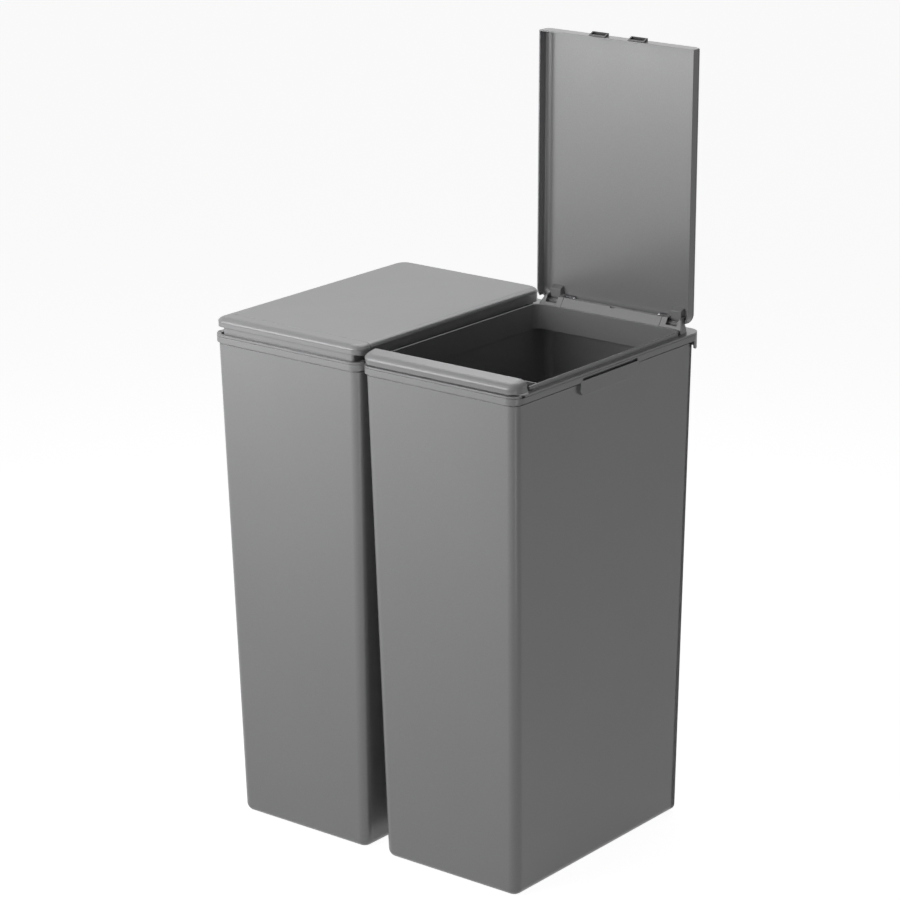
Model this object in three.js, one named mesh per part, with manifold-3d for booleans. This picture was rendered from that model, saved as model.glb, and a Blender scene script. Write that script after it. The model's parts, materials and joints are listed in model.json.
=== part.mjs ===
// A double recycling bin: two slim tapered bins, side by side, held together by a clip.
// Each bin is a bucket with a collar on its rim. The collar carries a hinged lid and, in
// front of it, a rocking press bar that holds the lid shut. The left bin is shut. On the
// right bin the bar is pressed and the lid stands open.
// Millimetres, +Z up, front towards -Y, origin on the floor under the middle of the rims.

import * as THREE from "three";
import { mergeVertices } from "three/addons/utils/BufferGeometryUtils.js";
import Module from "manifold-3d";

const wasm = await Module();
wasm.setup();

// ---------------------------------------------------------------- driving dimensions

// General clearances
const SEAT_GAP = 0.3; // between a piece and what it rests on
const PIN_CLEARANCE = 0.2; // radial, pin in its hole
const SIDE_PLAY = 0.5; // each side of a knuckle or arm between its supports

// Bucket
const RIM_WIDTH = 223;
const RIM_DEPTH = 365;
const RIM_CORNER = 16.4;
const RIM_BAND = 7; // height of the turned-down rim
const RIM_WALL = 1.6;
const RIM_WEB = 1.8; // flat top of the rim
const BIN_GAP = 1; // between the two rims
const BODY_HEIGHT = 600; // floor to the underside of the rim
const SIDE_OVERHANG = 3.5; // rim beyond the body
const FRONT_OVERHANG = 3;
const REAR_OVERHANG = 9.4;
const SIDE_TAPER = 10.5; // how far the body draws in from rim to floor
const FRONT_TAPER = 21.8;
const REAR_TAPER = 4.2;
const BODY_CORNER = 12;
const FOOT_ROUND = 9.6;
const BODY_WALL = 1.9;
const BASE_WALL = 2.6;
const BASE_RING = 14; // width of the ring that the bucket stands on
const BASE_RECESS = 1.2;

// Rear carrying grip: the rim runs deeper there
const GRIP_DROP = 10;
const GRIP_RETURN = 17; // how far it runs forward along the sides

// Side sockets for the joining clip
const SOCKET_WIDTH = 115;
const SLOT_END = 4; // socket beyond each end of its slot
const SOCKET_DROP = 16; // below the underside of the rim
const SOCKET_CORNER = 8;
const SOCKET_OFFSET = -4; // of its middle from the middle of the rim, along Y
const SOCKET_SILL = 1.6; // slot's lower edge above the underside of the rim

// Joining clip
const CLIP_WALL = 1.2;
const CLIP_END_PLAY = 7.5; // slot beyond each end of the clip
const CLIP_FOOT_GAP = 4.5; // under the clip's legs

// Collar
const COLLAR_FLANGE = 2.4;
const LIP_HEIGHT = 5.7;
const LIP_INSET = 5; // lip's outer face from the rim's outer face
const OPENING_INSET = 7.6; // opening's edge from the rim's outer face
const SKIRT_INSET = 6; // skirt's outer face from the rim's outer face
const SKIRT_DROP = 24.7; // below the flange's top
const OPENING_CORNER = 11;
const OPENING_REAR = 37; // from the rear of the rim
const LIP_START = 36.5; // distances from the front of the rim
const BAY_FRONT = 4.9; // front edge of the bay that the press bar dips into
const BAY_REAR = 46.5;
const BAY_WALL = 2;
const BAY_CORNER = 7;
const BAY_SIDE_DROP = 8; // depth of the bay's side walls

// Hinge
const HINGE_INSET = 17.6; // from the rear of the rim
const HINGE_RISE = 14.5; // above the collar's flange
const HINGE_PIN_RADIUS = 1.5;
const KNUCKLE_RADIUS = 3.8;
const HORN_RADIUS = 2.85; // of the collar's ear round the pin
const HORN_ROOT = 4.4; // height of the ear where it leaves the block
const BLOCK_END_INSET = 7; // from the side of the rim
const CHEEK_WALL = 9.3; // block outside a notch, at its foot
const OUTER_HORN = 2.4; // thickness of the ear on it
const NOTCH_WIDTH = 15.7;
const BLOCK_SOLID = 8; // solid stretch between a notch and the cover
const HORN_WALL = 6;
const BLOCK_FRONT = 34; // distances from the rear of the rim
const BLOCK_CREST = 26.3;
const BLOCK_REAR = 23;
const BLOCK_STEP = 4.5; // height of the upright face below the slope
const BLOCK_HEIGHT = 15.6; // above the flange
const BLOCK_END_LEAN = 4.1; // the block's end faces lean in by this much
const NOTCH_SILL = 2.8; // thickness of the low wall in front of a notch
const NOTCH_BACK = 2; // and of the one behind it
const NOTCH_SILL_HEIGHT = 9.1; // of both
const COVER_WALL = 1.8;
const COVER_NOTCH = 6; // width of the pry notch

// Hinge springs
const SPRING_WIRE = 1;
const SPRING_RADIUS = 2.25; // to the middle of the wire
const SPRING_TURNS = 6;
const SPRING_PITCH = 1.6;
const SPRING_TAIL = 3;
const SPRING_GAP = 0.9; // from the coil to the horn beside it

// Lid
const LID_RISE = 19.6; // its top above the collar's flange
const LID_WALL = 1.8;
const LID_FRONT = 25.6; // from the front of the rim
const LID_REAR = 12; // from the rear of the rim
const LID_INSET = 1.5; // lid's side from the rim's outer face
const LID_SKIRT = 16.3; // height of its sides
const LID_CORNER = 14;
const SQUARE_CORNER = 1.2; // corners along the seam
const EDGE_DROP = 5.7; // height of the soft top edge
const EDGE_RUN = 9.5; // how far the soft top edge runs in from the sides
const LID_REAR_RUN = 5; // and from the rear of the lid
const SKIRT_STEP = 0.35; // fine step below the soft edge
const LID_REAR_SKIRT = 9.3; // height of the lid's rear wall between its corners
const LID_REAR_GAP = 1.2; // each side of the hinge block, in that wall
const KNUCKLE_ARM = 9; // how far the knuckle's underside runs forward
const KNUCKLE_ROOT = 13; // and how far it does where it joins the lid

// Latch hooks on the front of the lid
const HOOK_OFFSET = 27.5;
const HOOK_WIDTH = 23;
const HOOK_REACH = 4.2;
const HOOK_WALL = 2;
const HOOK_NOSE_TOP = 6.1; // distances below the top of the lid
const HOOK_NOSE_BOTTOM = 7.3;
const HOOK_BOTTOM = 15.3;

// Press bar
const SEAM_GAP = 0.6; // between bar and lid
const BAR_FRONT = 2.3; // distances from the front of the rim
const BAR_CORNER = 14;
const BAR_WALL = 1.8;
const BAR_SKIRT = 10.8; // height of its front, top to lower edge
const BAR_TRAVEL = 10; // degrees
const NECK_FRONT = 6.2;
const NECK_REAR = 24;
const NECK_INSET = 11; // from the bar's ends
const NECK_WALL = 2;
const NECK_CORNER = 4;
const NECK_DROP = 24.3; // neck's lower edge below the top of the bar
const NECK_TOP = 1.5; // and its upper edge, inside the bar's plate
const RIB_OFFSETS = [0, 45];
const RIB_WALL = 1.6;
const RIB_DROP = 15;

// Press bar's pivots
const PIVOT_REACH = 3.5; // in front of the bay's rear wall
const PIVOT_DROP = 1.7; // below the collar's flange top
const PIVOT_PIN_RADIUS = 1.5;
const PIVOT_INSET = 10.3; // arm's middle from the neck's end
const ARM_WALL = 3.4;
const ARM_RADIUS = 3.4;
const ARM_GAP = 1.2; // between the arm and the lid above it
const EAR_WALL = 2.4;
const EAR_RADIUS = 3.6;

// Fineness of round stretches
const CORNER_STEPS = 8;
const EDGE_STEPS = 5;
const PIN_SIDES = 16;
const COIL_STEPS = 8; // per turn
const WIRE_SIDES = 5;

// ---------------------------------------------------------------- places worked out

const FRONT = -RIM_DEPTH / 2;
const REAR = RIM_DEPTH / 2;
const HALF_WIDTH = RIM_WIDTH / 2;
const BIN_PITCH = RIM_WIDTH + BIN_GAP;
const RIM_TOP = BODY_HEIGHT + RIM_BAND;
const FLANGE_BOTTOM = RIM_TOP + SEAT_GAP;
const FLANGE_TOP = FLANGE_BOTTOM + COLLAR_FLANGE;
const LIP_TOP = FLANGE_TOP + LIP_HEIGHT;
const SKIRT_BOTTOM = FLANGE_TOP - SKIRT_DROP;
const OPENING_HALF = HALF_WIDTH - OPENING_INSET;
const SKIRT_WALL = OPENING_INSET - SKIRT_INSET;
const BAR_REAR = LID_FRONT - SEAM_GAP;
const LID_HALF = HALF_WIDTH - LID_INSET;
const LID_TOP = FLANGE_TOP + LID_RISE;
const LID_BOTTOM = LID_TOP - LID_SKIRT;
const HINGE_Y = REAR - HINGE_INSET;
const HINGE_HEIGHT = FLANGE_TOP + HINGE_RISE;
const PIVOT_Y = FRONT + BAY_REAR - PIVOT_REACH;
const PIVOT_HEIGHT = FLANGE_TOP - PIVOT_DROP;
const ARM_TOP = LID_BOTTOM - ARM_GAP;
const NECK_HALF_WIDTH = LID_HALF - NECK_INSET;
const PIVOT_OFFSET = NECK_HALF_WIDTH - PIVOT_INSET;
const BLOCK_HALF_WIDTH = HALF_WIDTH - BLOCK_END_INSET;
const NOTCH_OUTER = BLOCK_HALF_WIDTH - CHEEK_WALL;
const NOTCH_INNER = NOTCH_OUTER - NOTCH_WIDTH;
const BLOCK_INNER = NOTCH_INNER - BLOCK_SOLID;
const COVER_HALF_WIDTH = BLOCK_INNER - SEAT_GAP;
const BLOCK_TOP = FLANGE_TOP + BLOCK_HEIGHT;
const SOCKET_BOTTOM = BODY_HEIGHT - SOCKET_DROP;
const SOCKET_TOP = BODY_HEIGHT + SOCKET_SILL;
const WEB_BOTTOM = RIM_TOP - RIM_WEB;

// ---------------------------------------------------------------- shape helpers

function toSolid(geometry) {
  const bare = geometry.clone();
  bare.deleteAttribute("normal");
  bare.deleteAttribute("uv");
  const merged = mergeVertices(bare, 1e-4);
  return new wasm.Manifold(
    new wasm.Mesh({
      numProp: 3,
      vertProperties: new Float32Array(merged.attributes.position.array),
      triVerts: new Uint32Array(merged.index.array),
    })
  );
}

function toGeometry(solid) {
  const mesh = solid.getMesh();
  const geometry = new THREE.BufferGeometry();
  geometry.setAttribute("position", new THREE.BufferAttribute(new Float32Array(mesh.vertProperties), 3));
  geometry.setIndex(Array.from(mesh.triVerts));
  geometry.computeVertexNormals();
  return geometry;
}

const union = (first, ...others) => others.reduce((sum, next) => sum.add(next), first);
const cut = (first, ...others) => others.reduce((rest, next) => rest.subtract(next), first);

// One level of a loft: a rectangle with round corners, as a ring of points.
function level({ half, front, rear, z, frontCorner, rearCorner = frontCorner }) {
  const corners = [
    [half - frontCorner, front + frontCorner, frontCorner],
    [half - rearCorner, rear - rearCorner, rearCorner],
    [-half + rearCorner, rear - rearCorner, rearCorner],
    [-half + frontCorner, front + frontCorner, frontCorner],
  ];
  const ring = [];
  corners.forEach(([cx, cy, radius], corner) => {
    for (let step = 0; step <= CORNER_STEPS; step += 1) {
      const angle = (Math.PI / 2) * (corner - 1 + step / CORNER_STEPS);
      ring.push([cx + radius * Math.cos(angle), cy + radius * Math.sin(angle), z]);
    }
  });
  return ring;
}

// A closed solid through a stack of levels, lowest first.
function loft(levels) {
  const rings = levels.map(level);
  const count = rings[0].length;
  const positions = rings.flat(2);
  const indices = [];
  for (let ring = 0; ring < rings.length - 1; ring += 1) {
    for (let point = 0; point < count; point += 1) {
      const next = (point + 1) % count;
      const low = ring * count;
      const high = low + count;
      indices.push(low + point, low + next, high + next);
      indices.push(low + point, high + next, high + point);
    }
  }
  const top = (rings.length - 1) * count;
  for (let point = 1; point < count - 1; point += 1) {
    indices.push(0, point + 1, point);
    indices.push(top, top + point, top + point + 1);
  }
  const geometry = new THREE.BufferGeometry();
  geometry.setAttribute("position", new THREE.Float32BufferAttribute(positions, 3));
  geometry.setIndex(indices);
  return toSolid(geometry);
}

function prism(outline, low, high) {
  return loft([
    { ...outline, z: low },
    { ...outline, z: high },
  ]);
}

function box(x0, x1, y0, y1, z0, z1) {
  const geometry = new THREE.BoxGeometry(x1 - x0, y1 - y0, z1 - z0);
  geometry.translate((x0 + x1) / 2, (y0 + y1) / 2, (z0 + z1) / 2);
  return toSolid(geometry);
}

// A shape drawn in the (y, z) plane, pulled out along X.
function alongX(shape, x0, x1) {
  const geometry = new THREE.ExtrudeGeometry(shape, {
    depth: x1 - x0,
    bevelEnabled: false,
    curveSegments: CORNER_STEPS,
  });
  const turn = new THREE.Matrix4().makeBasis(
    new THREE.Vector3(0, 1, 0),
    new THREE.Vector3(0, 0, 1),
    new THREE.Vector3(1, 0, 0)
  );
  geometry.applyMatrix4(turn);
  geometry.translate(x0, 0, 0);
  return toSolid(geometry);
}

function polygon(points) {
  return new THREE.Shape(points.map(([u, v]) => new THREE.Vector2(u, v)));
}

function rod(radius, x0, x1, y, z) {
  const geometry = new THREE.CylinderGeometry(radius, radius, x1 - x0, PIN_SIDES);
  geometry.rotateZ(Math.PI / 2);
  geometry.translate((x0 + x1) / 2, y, z);
  return toSolid(geometry);
}

// The same solid on both sides of the bin's middle plane.
function bothSides(make) {
  const solid = make();
  return union(solid, solid.mirror([1, 0, 0]));
}

// ---------------------------------------------------------------- bucket

// The body's outer or inner outline at a height; it draws in towards the floor.
function bodyOutline(z, inward = 0) {
  const drawIn = 1 - Math.min(z, BODY_HEIGHT) / BODY_HEIGHT;
  return {
    half: HALF_WIDTH - SIDE_OVERHANG - SIDE_TAPER * drawIn - inward,
    front: FRONT + FRONT_OVERHANG + FRONT_TAPER * drawIn + inward,
    rear: REAR - REAR_OVERHANG - REAR_TAPER * drawIn - inward,
    frontCorner: Math.max(BODY_CORNER - inward, 1),
    z,
  };
}

// Levels from a rounded lower edge up to a given height.
function taperedLevels(floor, round, inward, top) {
  const levels = [];
  for (let step = 0; step <= EDGE_STEPS; step += 1) {
    const angle = (Math.PI / 2) * (step / EDGE_STEPS);
    const rise = floor + round * (1 - Math.cos(angle));
    levels.push(bodyOutline(rise, inward + round * (1 - Math.sin(angle))));
  }
  levels.push(bodyOutline(BODY_HEIGHT, inward));
  levels.push(bodyOutline(top, inward));
  return levels;
}

const rimOutline = (inward = 0) => ({
  half: HALF_WIDTH - inward,
  front: FRONT + inward,
  rear: REAR - inward,
  frontCorner: RIM_CORNER - inward,
});

// A strip with round lower corners, in the (y, z) plane, for the side socket.
function socketShape(inward, top) {
  const middle = SOCKET_OFFSET;
  const half = SOCKET_WIDTH / 2 - inward;
  const radius = SOCKET_CORNER - inward;
  const bottom = SOCKET_BOTTOM + inward;
  const shape = new THREE.Shape();
  shape.moveTo(middle - half, top);
  shape.lineTo(middle - half, bottom + radius);
  shape.absarc(middle - half + radius, bottom + radius, radius, Math.PI, 1.5 * Math.PI, false);
  shape.lineTo(middle + half - radius, bottom);
  shape.absarc(middle + half - radius, bottom + radius, radius, 1.5 * Math.PI, 2 * Math.PI, false);
  shape.lineTo(middle + half, top);
  return shape;
}

function sideSocket() {
  const within = bodyOutline(SOCKET_BOTTOM).half - BODY_WALL / 2;
  const shell = alongX(socketShape(0, SOCKET_TOP), within, HALF_WIDTH);
  const hollowFrom = bodyOutline(BODY_HEIGHT).half;
  const hollow = alongX(socketShape(RIM_WALL, SOCKET_TOP + 1), hollowFrom - 2, HALF_WIDTH - RIM_WALL);
  return cut(shell, hollow);
}

function makeBucket() {
  const body = loft(taperedLevels(0, FOOT_ROUND, 0, RIM_TOP));
  const inside = loft(taperedLevels(BASE_WALL, FOOT_ROUND - BODY_WALL, BODY_WALL, RIM_TOP + 1));
  const band = cut(
    prism(rimOutline(), BODY_HEIGHT, RIM_TOP),
    prism(rimOutline(RIM_WALL), BODY_HEIGHT - 1, RIM_TOP + 1)
  );
  const web = prism(rimOutline(RIM_WALL / 2), WEB_BOTTOM, RIM_TOP);
  const gripWall = cut(
    prism(rimOutline(), BODY_HEIGHT - GRIP_DROP, BODY_HEIGHT + 1),
    prism(rimOutline(RIM_WALL), BODY_HEIGHT - GRIP_DROP - 1, BODY_HEIGHT + 2)
  );
  const behind = box(-RIM_WIDTH, RIM_WIDTH, REAR - GRIP_RETURN, REAR + 1, 0, RIM_TOP);
  const slotHalf = SOCKET_WIDTH / 2 - SLOT_END;
  const slot = box(
    HALF_WIDTH - RIM_WALL - 1,
    HALF_WIDTH + 1,
    SOCKET_OFFSET - slotHalf,
    SOCKET_OFFSET + slotHalf,
    SOCKET_TOP,
    WEB_BOTTOM
  );
  const standing = bodyOutline(0, FOOT_ROUND + BASE_RING);
  const recess = prism({ ...standing, frontCorner: BODY_CORNER }, -1, BASE_RECESS);
  const sockets = bothSides(sideSocket);
  const slots = bothSides(() => slot);
  const outside = union(body, band, web, gripWall.intersect(behind), sockets);
  return cut(outside, inside, recess, slots);
}

// ---------------------------------------------------------------- joining clip

// Stands in the two sockets that face each other, between the bins.
function makeClip() {
  const legMiddle = (SIDE_OVERHANG + RIM_WALL) / 2 + BIN_GAP / 2;
  const outer = legMiddle + CLIP_WALL / 2;
  const inner = legMiddle - CLIP_WALL / 2;
  const webBottom = SOCKET_TOP + SEAT_GAP;
  const webTop = webBottom + CLIP_WALL;
  const foot = SOCKET_BOTTOM + RIM_WALL + CLIP_FOOT_GAP;
  const half = SOCKET_WIDTH / 2 - SLOT_END - CLIP_END_PLAY;
  const y0 = SOCKET_OFFSET - half;
  const y1 = SOCKET_OFFSET + half;
  const web = box(-outer, outer, y0, y1, webBottom, webTop);
  return union(web, bothSides(() => box(inner, outer, y0, y1, foot, webTop)));
}

// ---------------------------------------------------------------- collar

const openingOutline = (outward) => ({
  half: OPENING_HALF + outward,
  front: FRONT + BAY_REAR + BAY_WALL - outward,
  rear: REAR - OPENING_REAR + outward,
  frontCorner: OPENING_CORNER + outward,
});

const bayOutline = (outward = 0) => ({
  half: OPENING_HALF + outward,
  front: FRONT + BAY_FRONT - outward,
  rear: FRONT + BAY_REAR + outward,
  frontCorner: BAY_CORNER,
  rearCorner: SQUARE_CORNER,
});

// The hinge block's section: upright foot, slope, flat crest.
function blockPoints(inward = 0, foot = FLANGE_TOP - 1) {
  const lean = inward * 0.6;
  return [
    [REAR - BLOCK_FRONT + inward, foot],
    [REAR - BLOCK_REAR - inward, foot],
    [REAR - BLOCK_REAR - inward, BLOCK_TOP - inward],
    [REAR - BLOCK_CREST + lean, BLOCK_TOP - inward],
    [REAR - BLOCK_FRONT + inward, FLANGE_TOP + BLOCK_STEP - lean],
  ];
}

// An ear that reaches back from the block to the hinge pin.
function horn(x0, x1) {
  const reach = alongX(
    polygon([
      [REAR - BLOCK_CREST, BLOCK_TOP - HORN_ROOT],
      [HINGE_Y, HINGE_HEIGHT - HORN_RADIUS],
      [HINGE_Y, HINGE_HEIGHT + HORN_RADIUS],
      [REAR - BLOCK_CREST, BLOCK_TOP],
    ]),
    x0,
    x1
  );
  return union(reach, rod(HORN_RADIUS, x0, x1, HINGE_Y, HINGE_HEIGHT));
}

function hingeBlockSide() {
  const innerWall = union(
    alongX(polygon(blockPoints()), BLOCK_INNER, NOTCH_INNER),
    horn(NOTCH_INNER - HORN_WALL, NOTCH_INNER)
  );
  const leanCut = alongX(
    polygon([
      [REAR - BLOCK_FRONT - 1, FLANGE_TOP],
      [HINGE_Y + 5, FLANGE_TOP],
      [HINGE_Y + 5, LID_TOP],
      [REAR - BLOCK_FRONT - 1, LID_TOP],
    ]),
    0,
    2 * BLOCK_END_LEAN
  );
  const leanAngle = THREE.MathUtils.radToDeg(Math.atan2(BLOCK_END_LEAN, BLOCK_HEIGHT));
  const leaning = leanCut
    .translate([0, 0, -FLANGE_TOP])
    .rotate([0, -leanAngle, 0])
    .translate([BLOCK_HALF_WIDTH, 0, FLANGE_TOP]);
  const outerWall = union(
    cut(alongX(polygon(blockPoints()), NOTCH_OUTER, BLOCK_HALF_WIDTH), leaning),
    horn(NOTCH_OUTER, NOTCH_OUTER + OUTER_HORN)
  );
  const lowWall = (y0, y1) =>
    box(NOTCH_INNER - 1, NOTCH_OUTER + 1, y0, y1, FLANGE_TOP - 1, FLANGE_TOP + NOTCH_SILL_HEIGHT);
  const sills = union(
    lowWall(REAR - BLOCK_FRONT, REAR - BLOCK_FRONT + NOTCH_SILL),
    lowWall(REAR - BLOCK_REAR - NOTCH_BACK, REAR - BLOCK_REAR)
  ).intersect(alongX(polygon(blockPoints()), 0, HALF_WIDTH));
  const bore = rod(HINGE_PIN_RADIUS + PIN_CLEARANCE, 0, HALF_WIDTH, HINGE_Y, HINGE_HEIGHT);
  return cut(union(innerWall, outerWall, sills), bore);
}

// The two ears that hold one pivot pin of the press bar, on the bay's rear wall.
function pivotEars() {
  const armHalf = ARM_WALL / 2 + SIDE_PLAY;
  const wallFace = FRONT + BAY_REAR + BAY_WALL / 2;
  const ear = (x0) => {
    const x1 = x0 + EAR_WALL;
    const root = box(x0, x1, PIVOT_Y, wallFace, PIVOT_HEIGHT - EAR_RADIUS, PIVOT_HEIGHT + EAR_RADIUS);
    return union(root, rod(EAR_RADIUS, x0, x1, PIVOT_Y, PIVOT_HEIGHT));
  };
  const ears = union(ear(PIVOT_OFFSET - armHalf - EAR_WALL), ear(PIVOT_OFFSET + armHalf));
  return cut(ears, rod(PIVOT_PIN_RADIUS + PIN_CLEARANCE, 0, HALF_WIDTH, PIVOT_Y, PIVOT_HEIGHT));
}

function makeCollar() {
  const flange = prism(rimOutline(), FLANGE_BOTTOM, FLANGE_TOP);
  const skirt = prism(openingOutline(SKIRT_WALL), SKIRT_BOTTOM, FLANGE_TOP);
  const baySides = prism(bayOutline(SKIRT_WALL), FLANGE_TOP - BAY_SIDE_DROP, FLANGE_TOP);
  const behindFront = box(-RIM_WIDTH, RIM_WIDTH, FRONT + BAY_FRONT + BAY_CORNER, REAR, 0, LID_TOP);
  const lipOutward = OPENING_INSET - LIP_INSET;
  const lipLevel = { ...openingOutline(lipOutward), front: FRONT + BAY_FRONT };
  const lipHollow = { ...openingOutline(0), front: FRONT };
  const lipBehind = box(-RIM_WIDTH, RIM_WIDTH, FRONT + LIP_START, REAR, 0, LID_TOP);
  const lip = cut(
    prism(lipLevel, FLANGE_TOP - 1, LIP_TOP),
    prism(lipHollow, FLANGE_TOP - 2, LIP_TOP + 1)
  ).intersect(lipBehind);
  const bayRearWall = box(
    -OPENING_HALF - 1,
    OPENING_HALF + 1,
    FRONT + BAY_REAR,
    FRONT + BAY_REAR + BAY_WALL,
    SKIRT_BOTTOM,
    LIP_TOP
  );
  const opening = prism(openingOutline(0), 0, FLANGE_TOP + 0.001);
  const bay = prism(bayOutline(), 0, FLANGE_TOP + 0.001);
  const ring = cut(union(flange, skirt, baySides.intersect(behindFront)), opening, bay);
  return union(ring, lip, bayRearWall, bothSides(pivotEars), bothSides(hingeBlockSide));
}

// The loose cover over the middle of the hinge block, a channel open below.
function makeHingeCover() {
  const foot = FLANGE_TOP + SEAT_GAP;
  const shell = cut(
    alongX(polygon(blockPoints(0, foot)), -COVER_HALF_WIDTH, COVER_HALF_WIDTH),
    alongX(polygon(blockPoints(COVER_WALL, foot - 1)), -COVER_HALF_WIDTH - 1, COVER_HALF_WIDTH + 1)
  );
  const notch = box(
    -COVER_NOTCH / 2,
    COVER_NOTCH / 2,
    REAR - BLOCK_CREST - 1,
    REAR - BLOCK_REAR - COVER_WALL,
    BLOCK_TOP - COVER_WALL - 1,
    LID_TOP
  );
  return cut(shell, notch);
}

// ---------------------------------------------------------------- hinge pins and springs

const springOuterEnd = NOTCH_INNER - HORN_WALL - SPRING_GAP;
const springLength = SPRING_TURNS * SPRING_PITCH + SPRING_WIRE;
const springInnerEnd = springOuterEnd - springLength;

function makeHingePin(side) {
  const inner = springInnerEnd - SPRING_GAP;
  const pin = rod(HINGE_PIN_RADIUS, inner, NOTCH_OUTER + OUTER_HORN, HINGE_Y, HINGE_HEIGHT);
  return side < 0 ? pin.mirror([1, 0, 0]) : pin;
}

// One torsion spring round the hinge pin, with two straight tails that point forward.
function springPoints(side) {
  const start = springInnerEnd + SPRING_WIRE / 2;
  const points = [];
  const steps = SPRING_TURNS * COIL_STEPS + COIL_STEPS / 2;
  const place = (x, y, z) => points.push(new THREE.Vector3(side * x, HINGE_Y + y, HINGE_HEIGHT + z));
  place(start, -SPRING_TAIL, -SPRING_RADIUS);
  for (let step = 0; step <= steps; step += 1) {
    const angle = (2 * Math.PI * step) / COIL_STEPS;
    const x = start + (SPRING_PITCH * (SPRING_TURNS / steps)) * step;
    place(x, SPRING_RADIUS * Math.sin(angle), -SPRING_RADIUS * Math.cos(angle));
  }
  place(start + SPRING_TURNS * SPRING_PITCH, -SPRING_TAIL, SPRING_RADIUS);
  return points;
}

// Least gap between the wire and itself, leaving out stretches that follow on directly.
function leastSelfGap(points) {
  let least = Infinity;
  for (let first = 0; first < points.length; first += 1) {
    for (let second = first + COIL_STEPS - 2; second < points.length; second += 1) {
      least = Math.min(least, points[first].distanceTo(points[second]) - SPRING_WIRE);
    }
  }
  return least;
}

// A tube through points with straight runs between them, mitred at each point.
function tubeThrough(points, radius, sides) {
  const positions = [];
  const indices = [];
  const along = points.map((point, at) => {
    const before = points[Math.max(at - 1, 0)];
    const after = points[Math.min(at + 1, points.length - 1)];
    return after.clone().sub(before).normalize();
  });
  const reference = new THREE.Vector3(1, 0, 0);
  points.forEach((point, at) => {
    const across = new THREE.Vector3().crossVectors(along[at], reference).normalize();
    const other = new THREE.Vector3().crossVectors(along[at], across).normalize();
    for (let side = 0; side < sides; side += 1) {
      const angle = (2 * Math.PI * side) / sides;
      const spot = point
        .clone()
        .addScaledVector(across, radius * Math.cos(angle))
        .addScaledVector(other, radius * Math.sin(angle));
      positions.push(spot.x, spot.y, spot.z);
    }
  });
  for (let ring = 0; ring < points.length - 1; ring += 1) {
    for (let side = 0; side < sides; side += 1) {
      const next = (side + 1) % sides;
      const low = ring * sides;
      const high = low + sides;
      indices.push(low + side, low + next, high + next);
      indices.push(low + side, high + next, high + side);
    }
  }
  const last = (points.length - 1) * sides;
  for (let side = 1; side < sides - 1; side += 1) {
    indices.push(0, side + 1, side);
    indices.push(last, last + side, last + side + 1);
  }
  const geometry = new THREE.BufferGeometry();
  geometry.setAttribute("position", new THREE.Float32BufferAttribute(positions, 3));
  geometry.setIndex(indices);
  return toSolid(geometry);
}

function makeHingeSpring(side) {
  return tubeThrough(springPoints(side), SPRING_WIRE / 2, WIRE_SIDES);
}

console.log(`hinge spring: least gap to itself ${leastSelfGap(springPoints(1)).toFixed(2)} mm`);

// ---------------------------------------------------------------- lid

// Levels of a shell with a soft top edge; inward shrinks it to make its hollow.
function softEdgeLevels(outline, bottom, top, inward) {
  const edgeZ = top - (EDGE_DROP - inward);
  const drop = top - edgeZ;
  const at = (sideIn, frontIn, rearIn, z) => ({
    half: outline.half - sideIn,
    front: outline.front + frontIn,
    rear: outline.rear - rearIn,
    frontCorner: Math.max(outline.frontCorner - Math.min(sideIn, frontIn), SQUARE_CORNER),
    rearCorner: Math.max(outline.rearCorner - Math.min(sideIn, rearIn), SQUARE_CORNER),
    z,
  });
  const below = SKIRT_STEP + inward;
  const levels = [
    at(below, outline.frontStep + inward, outline.rearStep + inward, bottom),
    at(below, outline.frontStep + inward, outline.rearStep + inward, edgeZ),
  ];
  for (let step = 0; step <= EDGE_STEPS; step += 1) {
    const angle = (Math.PI / 2) * (step / EDGE_STEPS);
    const share = 1 - Math.cos(angle);
    const run = (full) => inward + (full - inward) * share;
    const level = at(
      run(outline.sideRun),
      outline.frontRun > 0 ? run(outline.frontRun) : inward,
      outline.rearRun > 0 ? run(outline.rearRun) : inward,
      edgeZ + drop * Math.sin(angle)
    );
    levels.push(level);
  }
  return levels;
}

const lidOutline = {
  half: LID_HALF,
  front: FRONT + LID_FRONT,
  rear: REAR - LID_REAR,
  frontCorner: SQUARE_CORNER,
  rearCorner: LID_CORNER,
  sideRun: EDGE_RUN,
  frontRun: 0,
  rearRun: LID_REAR_RUN,
  frontStep: 0,
  rearStep: SKIRT_STEP,
};

// A barrel round the hinge pin, with an arm that lies in the block's notch when the lid is shut.
function lidKnuckle() {
  const x0 = NOTCH_INNER + SIDE_PLAY;
  const x1 = NOTCH_OUTER - SIDE_PLAY;
  const within = LID_TOP - LID_WALL / 2;
  const arm = alongX(
    polygon([
      [HINGE_Y + KNUCKLE_RADIUS, HINGE_HEIGHT],
      [HINGE_Y + KNUCKLE_RADIUS, within],
      [HINGE_Y - KNUCKLE_ROOT, within],
      [HINGE_Y - KNUCKLE_ARM, HINGE_HEIGHT - KNUCKLE_RADIUS],
      [HINGE_Y, HINGE_HEIGHT - KNUCKLE_RADIUS],
    ]),
    x0,
    x1
  );
  return union(rod(KNUCKLE_RADIUS, x0, x1, HINGE_Y, HINGE_HEIGHT), arm);
}

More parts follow.
